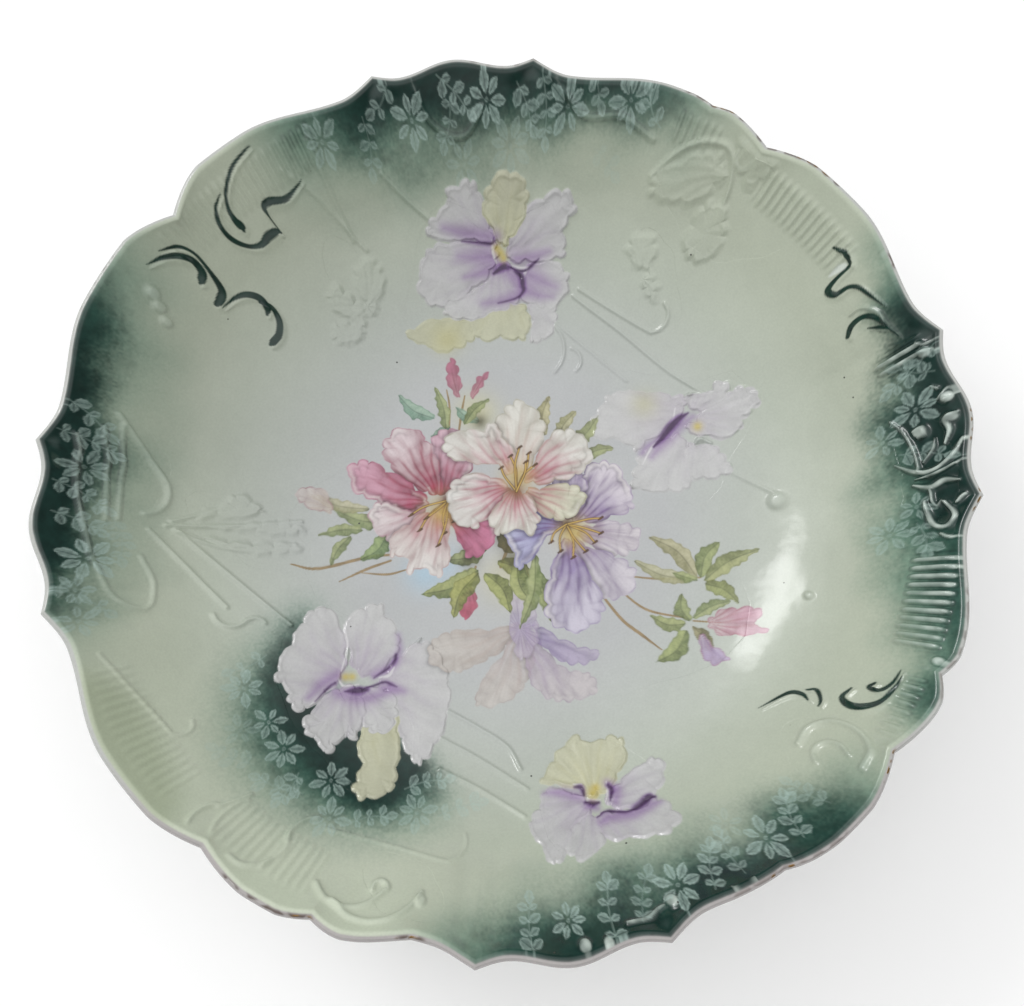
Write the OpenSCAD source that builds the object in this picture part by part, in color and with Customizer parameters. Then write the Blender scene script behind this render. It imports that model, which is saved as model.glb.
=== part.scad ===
// Lobed porcelain serving bowl with a scalloped, pointed rim and flowers in low relief.
// Millimetres. The origin is the middle of the foot's resting plane, +Z is up, and +Y is the back of the bowl.

/* [Bowl] */
// Radius of the bowl at the eight pointed tips of its rim
tip_r = 134; // [128:1:140]
// Height of the rim above the table
rim_h = 66; // [62:1:70]
// Radius of the flat floor of the well
floor_r = 46; // [43:1:49]
// Thickness of the porcelain in the floor
floor_t = 5; // [4:0.5:6]
// Thickness of the porcelain at the lip
lip_t = 3.4; // [2.8:0.1:4.2]
// Slope of the straight upper part of the wall, in degrees
wall_slope = 49; // [47:1:51]

/* [Foot] */
// Radius of the middle of the foot ring
foot_r = 47.5; // [46:0.5:49]
// Height of the foot ring
foot_h = 7; // [6:0.5:8]
// Width of the foot ring where it meets the bowl
foot_root_w = 7; // [6:0.5:8]
// Width of the ground face that the foot rests on
foot_rest_w = 2.4; // [2:0.2:3]

/* [Rim] */
// Half the angle between the two tips of a medallion, in degrees
medallion_half = 10.9; // [10:0.1:12]
// Depth of the notch between two broad lobes
notch_depth = 4; // [2:0.5:5]
// How much lower the edge runs where it runs further in
dip_share = 0.35; // [0:0.05:0.6]
// Width of the gold band over the lip, as a share of its half circle
gilt_share = 0.5; // [0.3:0.1:0.7]
// Thickness of the gold band
gilt_t = 0.12; // [0.1:0.02:0.2]

/* [Relief] */
// Height of a relief flower in its middle
sprig_h = 1.6; // [1:0.1:2.4]
// Height of a relief flower at its edge
sprig_edge_h = 0.35; // [0.2:0.05:0.6]
// Thickness of the printed bouquet's colour layer
print_t = 0.1; // [0.08:0.02:0.2]

/* [Hidden] */

// The medallions sit a little anticlockwise of the X and Y axes.
pattern_turn = 7.4;
quarter = 90;
floor_z = foot_h + floor_t;

// The inner profile is a cove from the floor up to wall_slope, and a straight wall from there to the lip.
// The cove's radius follows from where the lip has to end.
lip_in_r = tip_r - lip_t / 2 * (1 + sin(wall_slope));
lip_in_z = rim_h - lip_t / 2 * (1 - cos(wall_slope));
cove_r = ((lip_in_r - floor_r) * tan(wall_slope) - (lip_in_z - floor_z))
    / (sin(wall_slope) * tan(wall_slope) - (1 - cos(wall_slope)));
bend_r = floor_r + cove_r * sin(wall_slope);
bend_z = floor_z + cove_r * (1 - cos(wall_slope));
cove_steps = 12;
wall_steps = 4;
lip_steps = 4;

// One quarter of the rim: [angle from the medallion's middle, distance out from the tips, 1 at a sharp point].
RIM = [
    [0, 0.2, 0],
    [7, -2.4, 0],
    [medallion_half, 0, 1],
    [16.2, -3.9, 0],
    [30, 0.3, 0],
    [60, 0.2, 0],
    [73.8, -4, 0],
    [quarter - medallion_half, 0, 1],
    [83, -2.4, 0],
    [quarter, 0.2, 0]
];
// Flat steps that each stretch of RIM is drawn with. The 45 degree notch falls on a step.
RIM_STEPS = [3, 2, 3, 4, 10, 4, 3, 2, 3];
// V notches between the broad lobes, and breaks in the edge: [angle, half width, depth].
NOTCHES = [
    [52.4, 7, notch_depth],
    [141.4, 7, notch_depth + 1.6],
    [232.4, 7, notch_depth - 0.6],
    [322.4, 7, notch_depth],
    [61.5, 3, 1],
    [247.4, 4, 2.6],
    [303.4, 7, 2.4],
    [333.4, 3, 2.6],
    [259, 6, 1.4]
];
lobe_start_r = 86;
notch_reach = 12;

// ---- Curves

// Runs from 0 to 1, level at a smooth end and at full slope at a sharp one.
function ease(t, sharp_a, sharp_b) =
    sharp_a == 1 && sharp_b == 1 ? t
    : sharp_a == 1 ? sin(90 * t)
    : sharp_b == 1 ? 1 - cos(90 * t)
    : (1 - cos(180 * t)) / 2;

// The value of a list of [angle, value, sharp] keys at an angle that lies inside the list.
function keyed(keys, angle, i = 0) =
    i >= len(keys) - 2 || angle <= keys[i + 1][0]
        ? let (t = (angle - keys[i][0]) / (keys[i + 1][0] - keys[i][0]))
          keys[i][1] + (keys[i + 1][1] - keys[i][1]) * ease(t, keys[i][2], keys[i + 1][2])
        : keyed(keys, angle, i + 1);

function turn_within(angle, whole) = angle - whole * floor(angle / whole);
function angle_apart(a, b) = abs(turn_within(a - b + 180, 360) - 180);
function add_up(list, i = 0) = i == len(list) ? 0 : list[i] + add_up(list, i + 1);

function lobes(angle) = keyed(RIM, turn_within(angle - pattern_turn, quarter));
function notches(angle) = add_up([
    for (n = NOTCHES) -n[2] * pow(max(0, 1 - angle_apart(angle, n[0]) / n[1]), 1.4)
]);

// How far the lobes and notches move a point of the wall that lies r from the axis.
function lobe_weight(r) = pow(max(0, (r - lobe_start_r) / (lip_in_r - lobe_start_r)), 1.6);
function notch_weight(r) = pow(max(0, 1 - (lip_in_r - r) / notch_reach), 2);
function shift(angle, r) = lobes(angle) * lobe_weight(r) + notches(angle) * notch_weight(r);

// ---- Profile

function slope_at(r) = r <= floor_r ? 0 : r <= bend_r ? asin((r - floor_r) / cove_r) : wall_slope;
function height_at(r) =
    r <= floor_r ? floor_z
    : r <= bend_r ? floor_z + cove_r * (1 - cos(slope_at(r)))
    : bend_z + (r - bend_r) * tan(wall_slope);
function wall_t(r) =
    floor_t + (lip_t - floor_t) * max(0, (r - floor_r) / (lip_in_r - floor_r));

// ---- Rings of [radius, height, radius that its shift is taken at]

STATIONS = concat(
    [for (i = [0 : cove_steps]) floor_r + cove_r * sin(wall_slope * i / cove_steps)],
    [for (i = [1 : wall_steps]) bend_r + (lip_in_r - bend_r) * i / wall_steps]
);
INNER_RINGS = [for (r = STATIONS) [r, height_at(r), r]];
// The outside leaves the flat underside beyond the foot ring.
under_r = foot_r + foot_root_w / 2 + 1;
// How far inside the gold's own face its back lies, off the lip.
gilt_seat = 0.05;
// The foot ring's sides lean in by foot_lean on their way to the ground face, which has rounded corners.
foot_lean = 0.6;
foot_corner_r = 0.8;
OUTER_RINGS = concat(
    [[under_r, foot_h, floor_r]],
    [for (i = [2 : len(STATIONS) - 1])
        let (r = STATIONS[i])
        [r + wall_t(r) * sin(slope_at(r)), height_at(r) - wall_t(r) * cos(slope_at(r)), r]]
);
// A point on the half circle of the lip, grown by extra: share 0 is its inner end and 1 its outer end.
function lip_ring(share, extra = 0) =
    let (half = lip_t / 2, turn = wall_slope + 90 - 180 * share)
    [
        lip_in_r + half * sin(wall_slope) + (half + extra) * cos(turn),
        lip_in_z - half * cos(wall_slope) + (half + extra) * sin(turn),
        lip_in_r
    ];
LIP_RINGS = [for (i = [1 : lip_steps - 1]) lip_ring(i / lip_steps)];

ANGLES = [
    for (q = [0 : 3], k = [0 : len(RIM_STEPS) - 1], i = [0 : RIM_STEPS[k] - 1])
        pattern_turn + q * quarter
        + RIM[k][0] + (RIM[k + 1][0] - RIM[k][0]) * i / RIM_STEPS[k]
];

function ring_point(ring, angle) =
    let (d = shift(angle, ring[2]))
    [(ring[0] + d) * cos(angle), (ring[0] + d) * sin(angle), ring[1] + dip_share * d];

// The two triangles between steps i and i + 1 of rings j and k, which have n points each.
function band_faces(j, k, n) = [
    for (i = [0 : n - 1])
        let (next = (i + 1) % n)
        each [[j * n + i, j * n + next, k * n + next], [j * n + i, k * n + next, k * n + i]]
];

// ---- Shapes that lie on the inner surface

// A wall point's own radius, found back from where the lobes have moved it.
function unshifted(angle, r) = let (first = r - shift(angle, r)) r - shift(angle, first);

// The point of the inner surface over [x, y], lifted by h along the surface's normal.
function on_surface(x, y, h) =
    let (
        angle = atan2(y, x),
        r = unshifted(angle, norm([x, y])),
        slope = slope_at(r)
    )
    [
        x - h * sin(slope) * cos(angle),
        y - h * sin(slope) * sin(angle),
        height_at(r) + dip_share * shift(angle, r) + h * cos(slope)
    ];

// A closed patch on the inner surface. outline is [direction, reach] keys round its centre,
// and its height runs from middle_h to edge_h.
module patch(centre, outline, middle_h, edge_h, steps = 32, rings = 3) {
    first = outline[0];
    keys = [for (k = concat(outline, [[first[0] + 360, first[1]]])) [k[0], k[1], 0]];
    function reach(turn) = keyed(keys, first[0] + turn_within(turn - first[0], 360));
    function layer(top) = [
        for (j = [1 : rings], i = [0 : steps - 1])
            let (turn = 360 * i / steps, share = j / rings, d = share * reach(turn))
            on_surface(
                centre[0] + d * cos(turn),
                centre[1] + d * sin(turn),
                top * (edge_h + (middle_h - edge_h) * (1 - share * share))
            )
    ];
    n = rings * steps;
    top_middle = 2 * n;
    low_middle = 2 * n + 1;
    function fan(start, middle, flip) = [
        for (i = [0 : steps - 1])
            let (next = (i + 1) % steps)
            flip ? [middle, start + i, start + next] : [middle, start + next, start + i]
    ];
    function turned(faces, start, flip) = [
        for (f = faces) flip
            ? [f[2] + start, f[1] + start, f[0] + start]
            : [f[0] + start, f[1] + start, f[2] + start]
    ];
    sheet = [for (j = [0 : rings - 2]) each band_faces(j, j + 1, steps)];
    edge = band_faces(rings - 1, 2 * rings - 1, steps);
    polyhedron(
        points = concat(
            layer(1),
            layer(0),
            [on_surface(centre[0], centre[1], middle_h), on_surface(centre[0], centre[1], 0)]
        ),
        faces = concat(
            fan(0, top_middle, false),
            turned(sheet, 0, false),
            fan(n, low_middle, true),
            turned(sheet, n, true),
            edge
        )
    );
}

module sprig(centre, outline) {
    patch(centre, outline, sprig_h, sprig_edge_h);
}

// ---- Pieces

// The porcelain body: a flat well, a coved wall and a lobed, pointed rim with a rounded lip.
module bowl_body() {
    rings = concat(INNER_RINGS, LIP_RINGS, [for (i = [len(OUTER_RINGS) - 1 : -1 : 0]) OUTER_RINGS[i]]);
    n = len(ANGLES);
    last = len(rings) - 1;
    color([0.93, 0.94, 0.90])
        polyhedron(
            points = [for (ring = rings, angle = ANGLES) ring_point(ring, angle)],
            faces = concat(
                [[for (i = [n - 1 : -1 : 0]) i]],
                [for (j = [0 : last - 1]) each band_faces(j, j + 1, n)],
                [[for (i = [0 : n - 1]) last * n + i]]
            )
        );
}

// The foot ring, stuck on under the well, with a ground flat to rest on.
module foot_ring() {
    root = foot_root_w / 2;
    rest = foot_rest_w / 2;
    waist_h = foot_h - 2;
    function corner(side, a) = [
        foot_r + side * rest + foot_corner_r * cos(a),
        foot_corner_r * (1 + sin(a))
    ];
    color([0.95, 0.95, 0.93])
        rotate_extrude($fn = 128)
            polygon(concat(
                [[foot_r - root, foot_h], [foot_r - root + foot_lean, waist_h]],
                [for (a = [180 : 30 : 270]) corner(-1, a)],
                [for (a = [270 : 30 : 360]) corner(1, a)],
                [[foot_r + root - foot_lean, waist_h], [foot_r + root, foot_h]]
            ));
}

// The gold band along the lip: a closed loop between the lip's half circle and the same one grown by gilt_t.
module gilt_edge() {
    shares = [for (i = [-1 : 1]) 0.5 + i * gilt_share / 2];
    rings = concat(
        [for (s = shares) lip_ring(s, gilt_t + gilt_seat)],
        [for (i = [2 : -1 : 0]) lip_ring(shares[i], gilt_seat)]
    );
    n = len(ANGLES);
    color([0.72, 0.55, 0.25])
        polyhedron(
            points = [for (ring = rings, angle = ANGLES) ring_point(ring, angle)],
            faces = [for (j = [0 : 5]) each band_faces(j, (j + 1) % 6, n)]
        );
}

// The printed bouquet in the well, as the thin layer of colour that it is.
module bouquet_transfer() {
    color([0.80, 0.52, 0.62])
        patch([4, 0], [
            [0, 62], [25, 42], [50, 38], [75, 44], [105, 57], [130, 42], [160, 58],
            [180, 74], [200, 70], [225, 52], [250, 48], [280, 58], [300, 66], [330, 80]
        ], print_t, print_t, 48, 6);
}

module iris_back() {
    color([0.84, 0.80, 0.86])
        sprig([-3, 84], [
            [20, 24], [45, 25], [65, 14], [90, 23], [112, 16], [140, 26], [180, 28],
            [215, 36], [245, 22], [280, 22], [310, 27], [345, 20]
        ]);
}

module iris_right() {
    color([0.84, 0.80, 0.86])
        sprig([55, 29], [
            [10, 24], [40, 26], [70, 16], [105, 20], [140, 30], [175, 29], [215, 16],
            [260, 22], [290, 26], [330, 20]
        ]);
}

module iris_front_left() {
    color([0.86, 0.83, 0.88])
        sprig([-49, -54], [
            [15, 21], [55, 24], [90, 22], [130, 26], [165, 22], [200, 19], [230, 20],
            [262, 24], [278, 37], [292, 34], [310, 30], [345, 19]
        ]);
}

module iris_front_right() {
    color([0.84, 0.80, 0.86])
        sprig([26, -86], [
            [10, 19], [50, 16], [90, 16], [125, 20], [160, 16], [200, 18], [240, 22],
            [280, 17], [320, 20], [345, 22]
        ]);
}

module iris_left() {
    color([0.90, 0.91, 0.88])
        sprig([-80, -7], [
            [20, 10], [60, 9], [110, 11], [155, 21], [185, 15], [235, 9], [290, 12],
            [337, 20]
        ]);
}

module iris_rim() {
    color([0.80, 0.84, 0.76])
        sprig([70, 93], [
            [10, 13], [50, 10], [95, 13], [144, 25], [190, 15], [230, 13], [280, 15],
            [324, 23]
        ]);
}

module bud_back_left() {
    color([0.88, 0.89, 0.87])
        sprig([-49, 72], [
            [20, 7], [60, 8], [118, 18], [170, 8], [230, 9], [298, 18], [340, 9]
        ]);
}

module bud_back_right() {
    color([0.88, 0.89, 0.87])
        sprig([48, 80], [
            [0, 7], [60, 8], [110, 13], [150, 8], [220, 7], [290, 20], [330, 9]
        ]);
}

module scroll_left() {
    color([0.55, 0.66, 0.60])
        sprig([-111, 6], [
            [0, 8], [50, 10], [95, 15], [140, 9], [180, 7], [230, 10], [265, 16],
            [310, 9]
        ]);
}

module scroll_right() {
    color([0.55, 0.66, 0.60])
        sprig([122, -4], [
            [0, 6], [50, 8], [95, 24], [135, 8], [180, 6], [240, 8], [270, 17],
            [310, 7]
        ]);
}

module scroll_front() {
    color([0.82, 0.85, 0.80])
        sprig([-27, -114], [
            [20, 8], [90, 8], [145, 14], [200, 9], [270, 7], [325, 12]
        ]);
}

module shell_front() {
    color([0.45, 0.56, 0.50])
        sprig([87, -77], [
            [20, 9], [80, 10], [130, 11], [180, 8], [240, 9], [310, 13]
        ]);
}

bowl_body();
foot_ring();
gilt_edge();
bouquet_transfer();
iris_back();
iris_right();
iris_front_left();
iris_front_right();
iris_left();
iris_rim();
bud_back_left();
bud_back_right();
scroll_left();
scroll_right();
scroll_front();
shell_front();
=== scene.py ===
"""Looks of the porcelain serving bowl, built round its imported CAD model.

Lengths are in millimetres until a mesh is made. x and y are plan positions seen from above, with +y towards
the back. Every glazed surface is the same inner surface of the bowl, so the body, the relief flowers and the
printed bouquet share one relief function and one paint function and meet without a seam.
"""

import bpy
import numpy as np
from mathutils import Matrix, Vector


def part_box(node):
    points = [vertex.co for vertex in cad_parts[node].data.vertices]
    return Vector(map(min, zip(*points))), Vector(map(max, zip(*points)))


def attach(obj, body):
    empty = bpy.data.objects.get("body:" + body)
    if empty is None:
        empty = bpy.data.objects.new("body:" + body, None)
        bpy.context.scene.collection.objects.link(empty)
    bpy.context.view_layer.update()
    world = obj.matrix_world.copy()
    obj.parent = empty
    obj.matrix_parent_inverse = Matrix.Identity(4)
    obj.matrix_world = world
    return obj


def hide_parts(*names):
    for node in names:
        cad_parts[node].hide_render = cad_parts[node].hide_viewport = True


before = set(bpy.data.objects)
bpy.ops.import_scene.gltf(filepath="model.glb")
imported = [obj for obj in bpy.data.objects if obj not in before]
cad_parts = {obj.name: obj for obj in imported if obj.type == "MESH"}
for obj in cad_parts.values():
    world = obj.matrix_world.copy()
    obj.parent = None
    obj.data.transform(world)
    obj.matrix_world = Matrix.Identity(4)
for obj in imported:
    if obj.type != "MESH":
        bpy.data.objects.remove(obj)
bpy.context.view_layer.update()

# ---- Driving dimensions: TIP_R and FOOT_H come from the frame, the others repeat the CAD model's

body_points = np.array([v.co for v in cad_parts["bowl_body"].data.vertices]) * 1000
# The lobes of the finer mesh bulge past the CAD's flat facets, so they are drawn in by this much.
LOBE_BULGE = 0.3
TIP_R = float(np.hypot(body_points[:, 0], body_points[:, 1]).max()) - LOBE_BULGE
FOOT_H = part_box("foot_ring")[1][2] * 1000
RIM_H = 66.0
FLOOR_R = 46.0
FLOOR_T = 5.0
LIP_T = 3.4
WALL_SLOPE = np.radians(49)
PATTERN_TURN = 7.4
MEDALLION_HALF = 10.9
DIP_SHARE = 0.35
LOBE_START_R = 86.0
NOTCH_REACH = 12.0

FLOOR_Z = FOOT_H + FLOOR_T
LIP_IN_R = TIP_R - LIP_T / 2 * (1 + np.sin(WALL_SLOPE))
LIP_IN_Z = RIM_H - LIP_T / 2 * (1 - np.cos(WALL_SLOPE))
COVE_R = ((LIP_IN_R - FLOOR_R) * np.tan(WALL_SLOPE) - (LIP_IN_Z - FLOOR_Z)) / (
    np.sin(WALL_SLOPE) * np.tan(WALL_SLOPE) - (1 - np.cos(WALL_SLOPE))
)
BEND_R = FLOOR_R + COVE_R * np.sin(WALL_SLOPE)
BEND_Z = FLOOR_Z + COVE_R * (1 - np.cos(WALL_SLOPE))

# One quarter of the rim: [angle from the medallion's middle, distance out from the tips, 1 at a sharp point].
RIM = [
    [0, 0.2, 0],
    [7, -2.4, 0],
    [MEDALLION_HALF, 0, 1],
    [16.2, -3.9, 0],
    [30, 0.3, 0],
    [60, 0.2, 0],
    [73.8, -4, 0],
    [90 - MEDALLION_HALF, 0, 1],
    [83, -2.4, 0],
    [90, 0.2, 0],
]
# V notches between the broad lobes, and breaks in the edge: [angle, half width, depth].
NOTCHES = [
    [52.4, 7, 4],
    [141.4, 7, 5.6],
    [232.4, 7, 3.4],
    [322.4, 7, 4],
    [61.5, 3, 1],
    [247.4, 4, 2.6],
    [303.4, 7, 2.4],
    [333.4, 3, 2.6],
    [259, 6, 1.4],
]


# ---- Small maths


def smooth(t):
    t = np.clip(t, 0, 1)
    return t * t * (3 - 2 * t)


def apart(a, b):
    """Degrees between two directions."""
    return np.abs(np.mod(a - b + 180, 360) - 180)


def ripple(x, y, size, seed=0):
    """Smooth, repeatable waves between about -1 and 1, with features of about the given size."""
    total = np.zeros_like(x)
    for k in range(6):
        turn = 2.4 * k + 0.7 * seed
        wave = (1 + 0.23 * k) * 2 * np.pi / (2.2 * size)
        total += np.sin((x * np.cos(turn) + y * np.sin(turn)) * wave + 1.7 * k + 3.1 * seed)
    return total / 3


def grain(x, y, size):
    """Repeatable uneven mottling between -1 and 1: random values on a grid, blended between its corners."""
    column, row = np.floor(x / size), np.floor(y / size)
    across, up = smooth(x / size - column), smooth(y / size - row)

    def value(i, j):
        return np.mod(np.sin(127.1 * (column + i) + 311.7 * (row + j)) * 43758.5, 1)

    low = value(0, 0) + across * (value(1, 0) - value(0, 0))
    high = value(0, 1) + across * (value(1, 1) - value(0, 1))
    return 2 * (low + up * (high - low)) - 1


# ---- Shape of the bowl


def ease(t, sharp_a, sharp_b):
    if sharp_a:
        return np.sin(np.pi / 2 * t)
    if sharp_b:
        return 1 - np.cos(np.pi / 2 * t)
    return (1 - np.cos(np.pi * t)) / 2


def lobes(angle):
    angle = np.mod(angle - PATTERN_TURN, 90)
    out = np.zeros_like(angle)
    for (a, va, sharp_a), (b, vb, sharp_b) in zip(RIM[:-1], RIM[1:]):
        here = (angle >= a) & (angle <= b)
        out[here] = va + (vb - va) * ease((angle[here] - a) / (b - a), sharp_a, sharp_b)
    return out


def notches(angle):
    out = np.zeros_like(angle)
    for middle, half, depth in NOTCHES:
        out -= depth * np.maximum(0, 1 - apart(angle, middle) / half) ** 1.4
    return out


def shift(angle, r):
    """How far the lobes and notches move a point of the wall that lies r from the axis."""
    lobe_weight = np.maximum(0, (r - LOBE_START_R) / (LIP_IN_R - LOBE_START_R)) ** 1.6
    notch_weight = np.clip(1 - (LIP_IN_R - r) / NOTCH_REACH, 0, 1) ** 2
    return lobes(angle) * lobe_weight + notches(angle) * notch_weight


def slope_at(r):
    inside = np.arcsin(np.clip((r - FLOOR_R) / COVE_R, 0, np.sin(WALL_SLOPE)))
    return np.where(r <= BEND_R, inside, WALL_SLOPE)


def height_at(r):
    cove = FLOOR_Z + COVE_R * (1 - np.cos(slope_at(r)))
    return np.where(r <= BEND_R, cove, BEND_Z + (r - BEND_R) * np.tan(WALL_SLOPE))


def inner_point(angle, r, lift):
    """Points of the inner surface at an angle and an unshifted radius, lifted along the normal."""
    moved = shift(angle, r)
    slope = slope_at(r)
    turn = np.radians(angle)
    out = r + moved - lift * np.sin(slope)
    z = height_at(r) + DIP_SHARE * moved + lift * np.cos(slope)
    return np.stack([out * np.cos(turn), out * np.sin(turn), z], -1)


def unshifted(angle, r):
    first = r
    for _ in range(4):
        first = r - shift(angle, first)
    return first


def over_plan(x, y, lift):
    """Points of the inner surface over plan positions."""
    angle = np.degrees(np.arctan2(y, x))
    return inner_point(angle, unshifted(angle, np.hypot(x, y)), lift)


# ---- Curves and outlines in the plan


def curve(points, per_span=8, closed=False):
    """A smooth line of points through given ones, which may carry a width as a third value."""
    p = np.array(points, float)
    if closed:
        p = np.concatenate([p[-1:], p, p[:2]])
    else:
        p = np.concatenate([2 * p[:1] - p[1:2], p, 2 * p[-1:] - p[-2:-1]])
    t = (np.arange(per_span) / per_span)[:, None]
    out = []
    for a, b, c, d in zip(p[:-3], p[1:-2], p[2:-1], p[3:]):
        bend = t**2 * (a - 2.5 * b + 2 * c - d / 2)
        twist = t**3 * (1.5 * (b - c) + (d - a) / 2)
        out.append(b + t * (c - a) / 2 + bend + twist)
    if not closed:
        out.append(p[-2:-1])
    return np.concatenate(out)


def arc(centre, radius, first, last, count=6):
    """Points round part of a circle, from one direction to another in degrees."""
    turns = np.radians(np.linspace(first, last, count))
    return [(centre[0] + radius * np.cos(t), centre[1] + radius * np.sin(t)) for t in turns]


def run(start, heading, length):
    """The two ends of a straight line that leaves a point in a direction given in degrees."""
    turn = np.radians(heading)
    return [start, (start[0] + length * np.cos(turn), start[1] + length * np.sin(turn))]


class Points:
    """Plan points of the glaze, sorted into cells so that a small shape only looks at what is near it."""

    CELL = 4.0
    SIDE = 72

    def __init__(self, x, y):
        self.x = x
        self.y = y
        self.r = np.hypot(x, y)
        self.angle = np.degrees(np.arctan2(y, x))
        column, row = self.cell(x), self.cell(y)
        key = column * self.SIDE + row
        self.order = np.argsort(key, kind="stable")
        self.start = np.searchsorted(key[self.order], np.arange(self.SIDE**2 + 1))

    def cell(self, value):
        return np.clip((np.asarray(value) / self.CELL + self.SIDE / 2).astype(int), 0, self.SIDE - 1)

    def near(self, shape, reach):
        """Indices of the points within reach of a shape's box."""
        (x0, y0), (x1, y1) = shape[:, :2].min(0) - reach, shape[:, :2].max(0) + reach
        row0, row1 = int(self.cell(y0)), int(self.cell(y1))
        parts = []
        for column in range(int(self.cell(x0)), int(self.cell(x1)) + 1):
            start = self.start[column * self.SIDE + row0]
            stop = self.start[column * self.SIDE + row1 + 1]
            parts.append(self.order[start:stop])
        index = np.concatenate(parts)
        x, y = self.x[index], self.y[index]
        return index[(x >= x0) & (x <= x1) & (y >= y0) & (y <= y1)]


def along_line(px, py, line):
    """For each point: its distance from a line of points, and how far along the line it is, 0 to 1."""
    best = np.full(px.shape, 1e9)
    where = np.zeros(px.shape)
    last = len(line) - 1
    for i in range(last):
        a, b = line[i, :2], line[i + 1, :2]
        d = b - a
        t = np.clip(((px - a[0]) * d[0] + (py - a[1]) * d[1]) / max(d @ d, 1e-9), 0, 1)
        far = np.hypot(px - a[0] - t * d[0], py - a[1] - t * d[1])
        closer = far < best
        best[closer] = far[closer]
        where[closer] = (i + t[closer]) / last
    return best, where


def inside_depth(px, py, outline):
    """Signed distance to a closed outline: positive inside."""
    ring = np.concatenate([outline, outline[:1]])
    far, _ = along_line(px, py, ring)
    inside = np.zeros(px.shape, bool)
    for a, b in zip(ring[:-1], ring[1:]):
        if a[1] != b[1]:
            crosses = (a[1] > py) != (b[1] > py)
            inside ^= crosses & (px < (b[0] - a[0]) * (py - a[1]) / (b[1] - a[1]) + a[0])
    return np.where(inside, far, -far)


def petal_depth(x, y, ring, scallop, spacing):
    """Depth inside a petal whose edge is scalloped, and 0 at its notches to 1 between them."""
    far, along = along_line(x, y, np.concatenate([ring, ring[:1]]))
    signed = np.where(inside_depth(x, y, ring) > 0, far, -far)
    length = np.hypot(*(ring - np.roll(ring, 1, 0)).T).sum()
    count = max(3, round(length / spacing))
    wave = np.abs(np.sin(np.pi * count * along + 0.7 * np.sin(6 * np.pi * along))) ** 0.7
    return signed - scallop * (1 - wave) + 0.25 * ripple(x, y, 2.6, 12), wave


# ---- Relief


class Relief:
    """Height of the relief over the inner surface, in millimetres, at a set of points."""

    def __init__(self, points):
        self.at = points
        self.h = np.zeros_like(points.x)
        self.ridge = np.zeros_like(points.x)

    def line(self, path, height, width):
        """A rounded ridge; each point of the path may carry its own share of the width."""
        path = curve([(p + (1,))[:3] for p in path])
        index = self.at.near(path, 2 * width)
        far, along = along_line(self.at.x[index], self.at.y[index], path)
        half = width / 2 * np.interp(along * (len(path) - 1), np.arange(len(path)), path[:, 2])
        rise = height * np.exp(-((far / np.maximum(half, 0.05)) ** 2))
        self.h[index] += rise
        self.ridge[index] = np.maximum(self.ridge[index], rise)

    def petal(self, outline, heart, top, soft):
        """A domed, ruffled petal with a thin raised edge and faint veins that run to the flower's heart."""
        ring = curve(outline, 5, closed=True)
        index = self.at.near(ring, 2)
        x, y = self.at.x[index], self.at.y[index]
        depth, wave = petal_depth(x, y, ring, 1.1, 6.5)
        turn = np.arctan2(y - heart[1], x - heart[0])
        far = np.hypot(x - heart[0], y - heart[1])
        dome = 0.42 + 0.58 * (1 - np.exp(-np.maximum(depth, 0) / 3.5))
        edge = 0.24 / soft * np.exp(-(((depth - 0.8 * soft) / 0.55) ** 2))
        veins = 0.05 * np.sin(turn * 26 + 2 * np.sin(far / 4)) * smooth(far / 12)
        folds = 0.10 * np.sin(turn * 7 + far / 5) - 0.25 * (1 - wave) * np.exp(-np.maximum(depth, 0) / 3)
        target = top * (dome + edge + veins + folds)
        weight = smooth(depth / soft + 0.2)
        self.h[index] += weight * (target - self.h[index])


# ---- Paint


def linear(colour):
    c = np.array(colour, float) / 255
    return np.where(c <= 0.04045, c / 12.92, ((c + 0.055) / 1.055) ** 2.4)


# Printed leaves, and petals with a drawn edge, are toned down to this share of their colour.
PRINT_TONE = 0.74
STENCIL_PALE = (164, 186, 179)
STENCIL_TWIG = (150, 172, 164)
TURNED_EDGE = (232, 228, 224)


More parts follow.
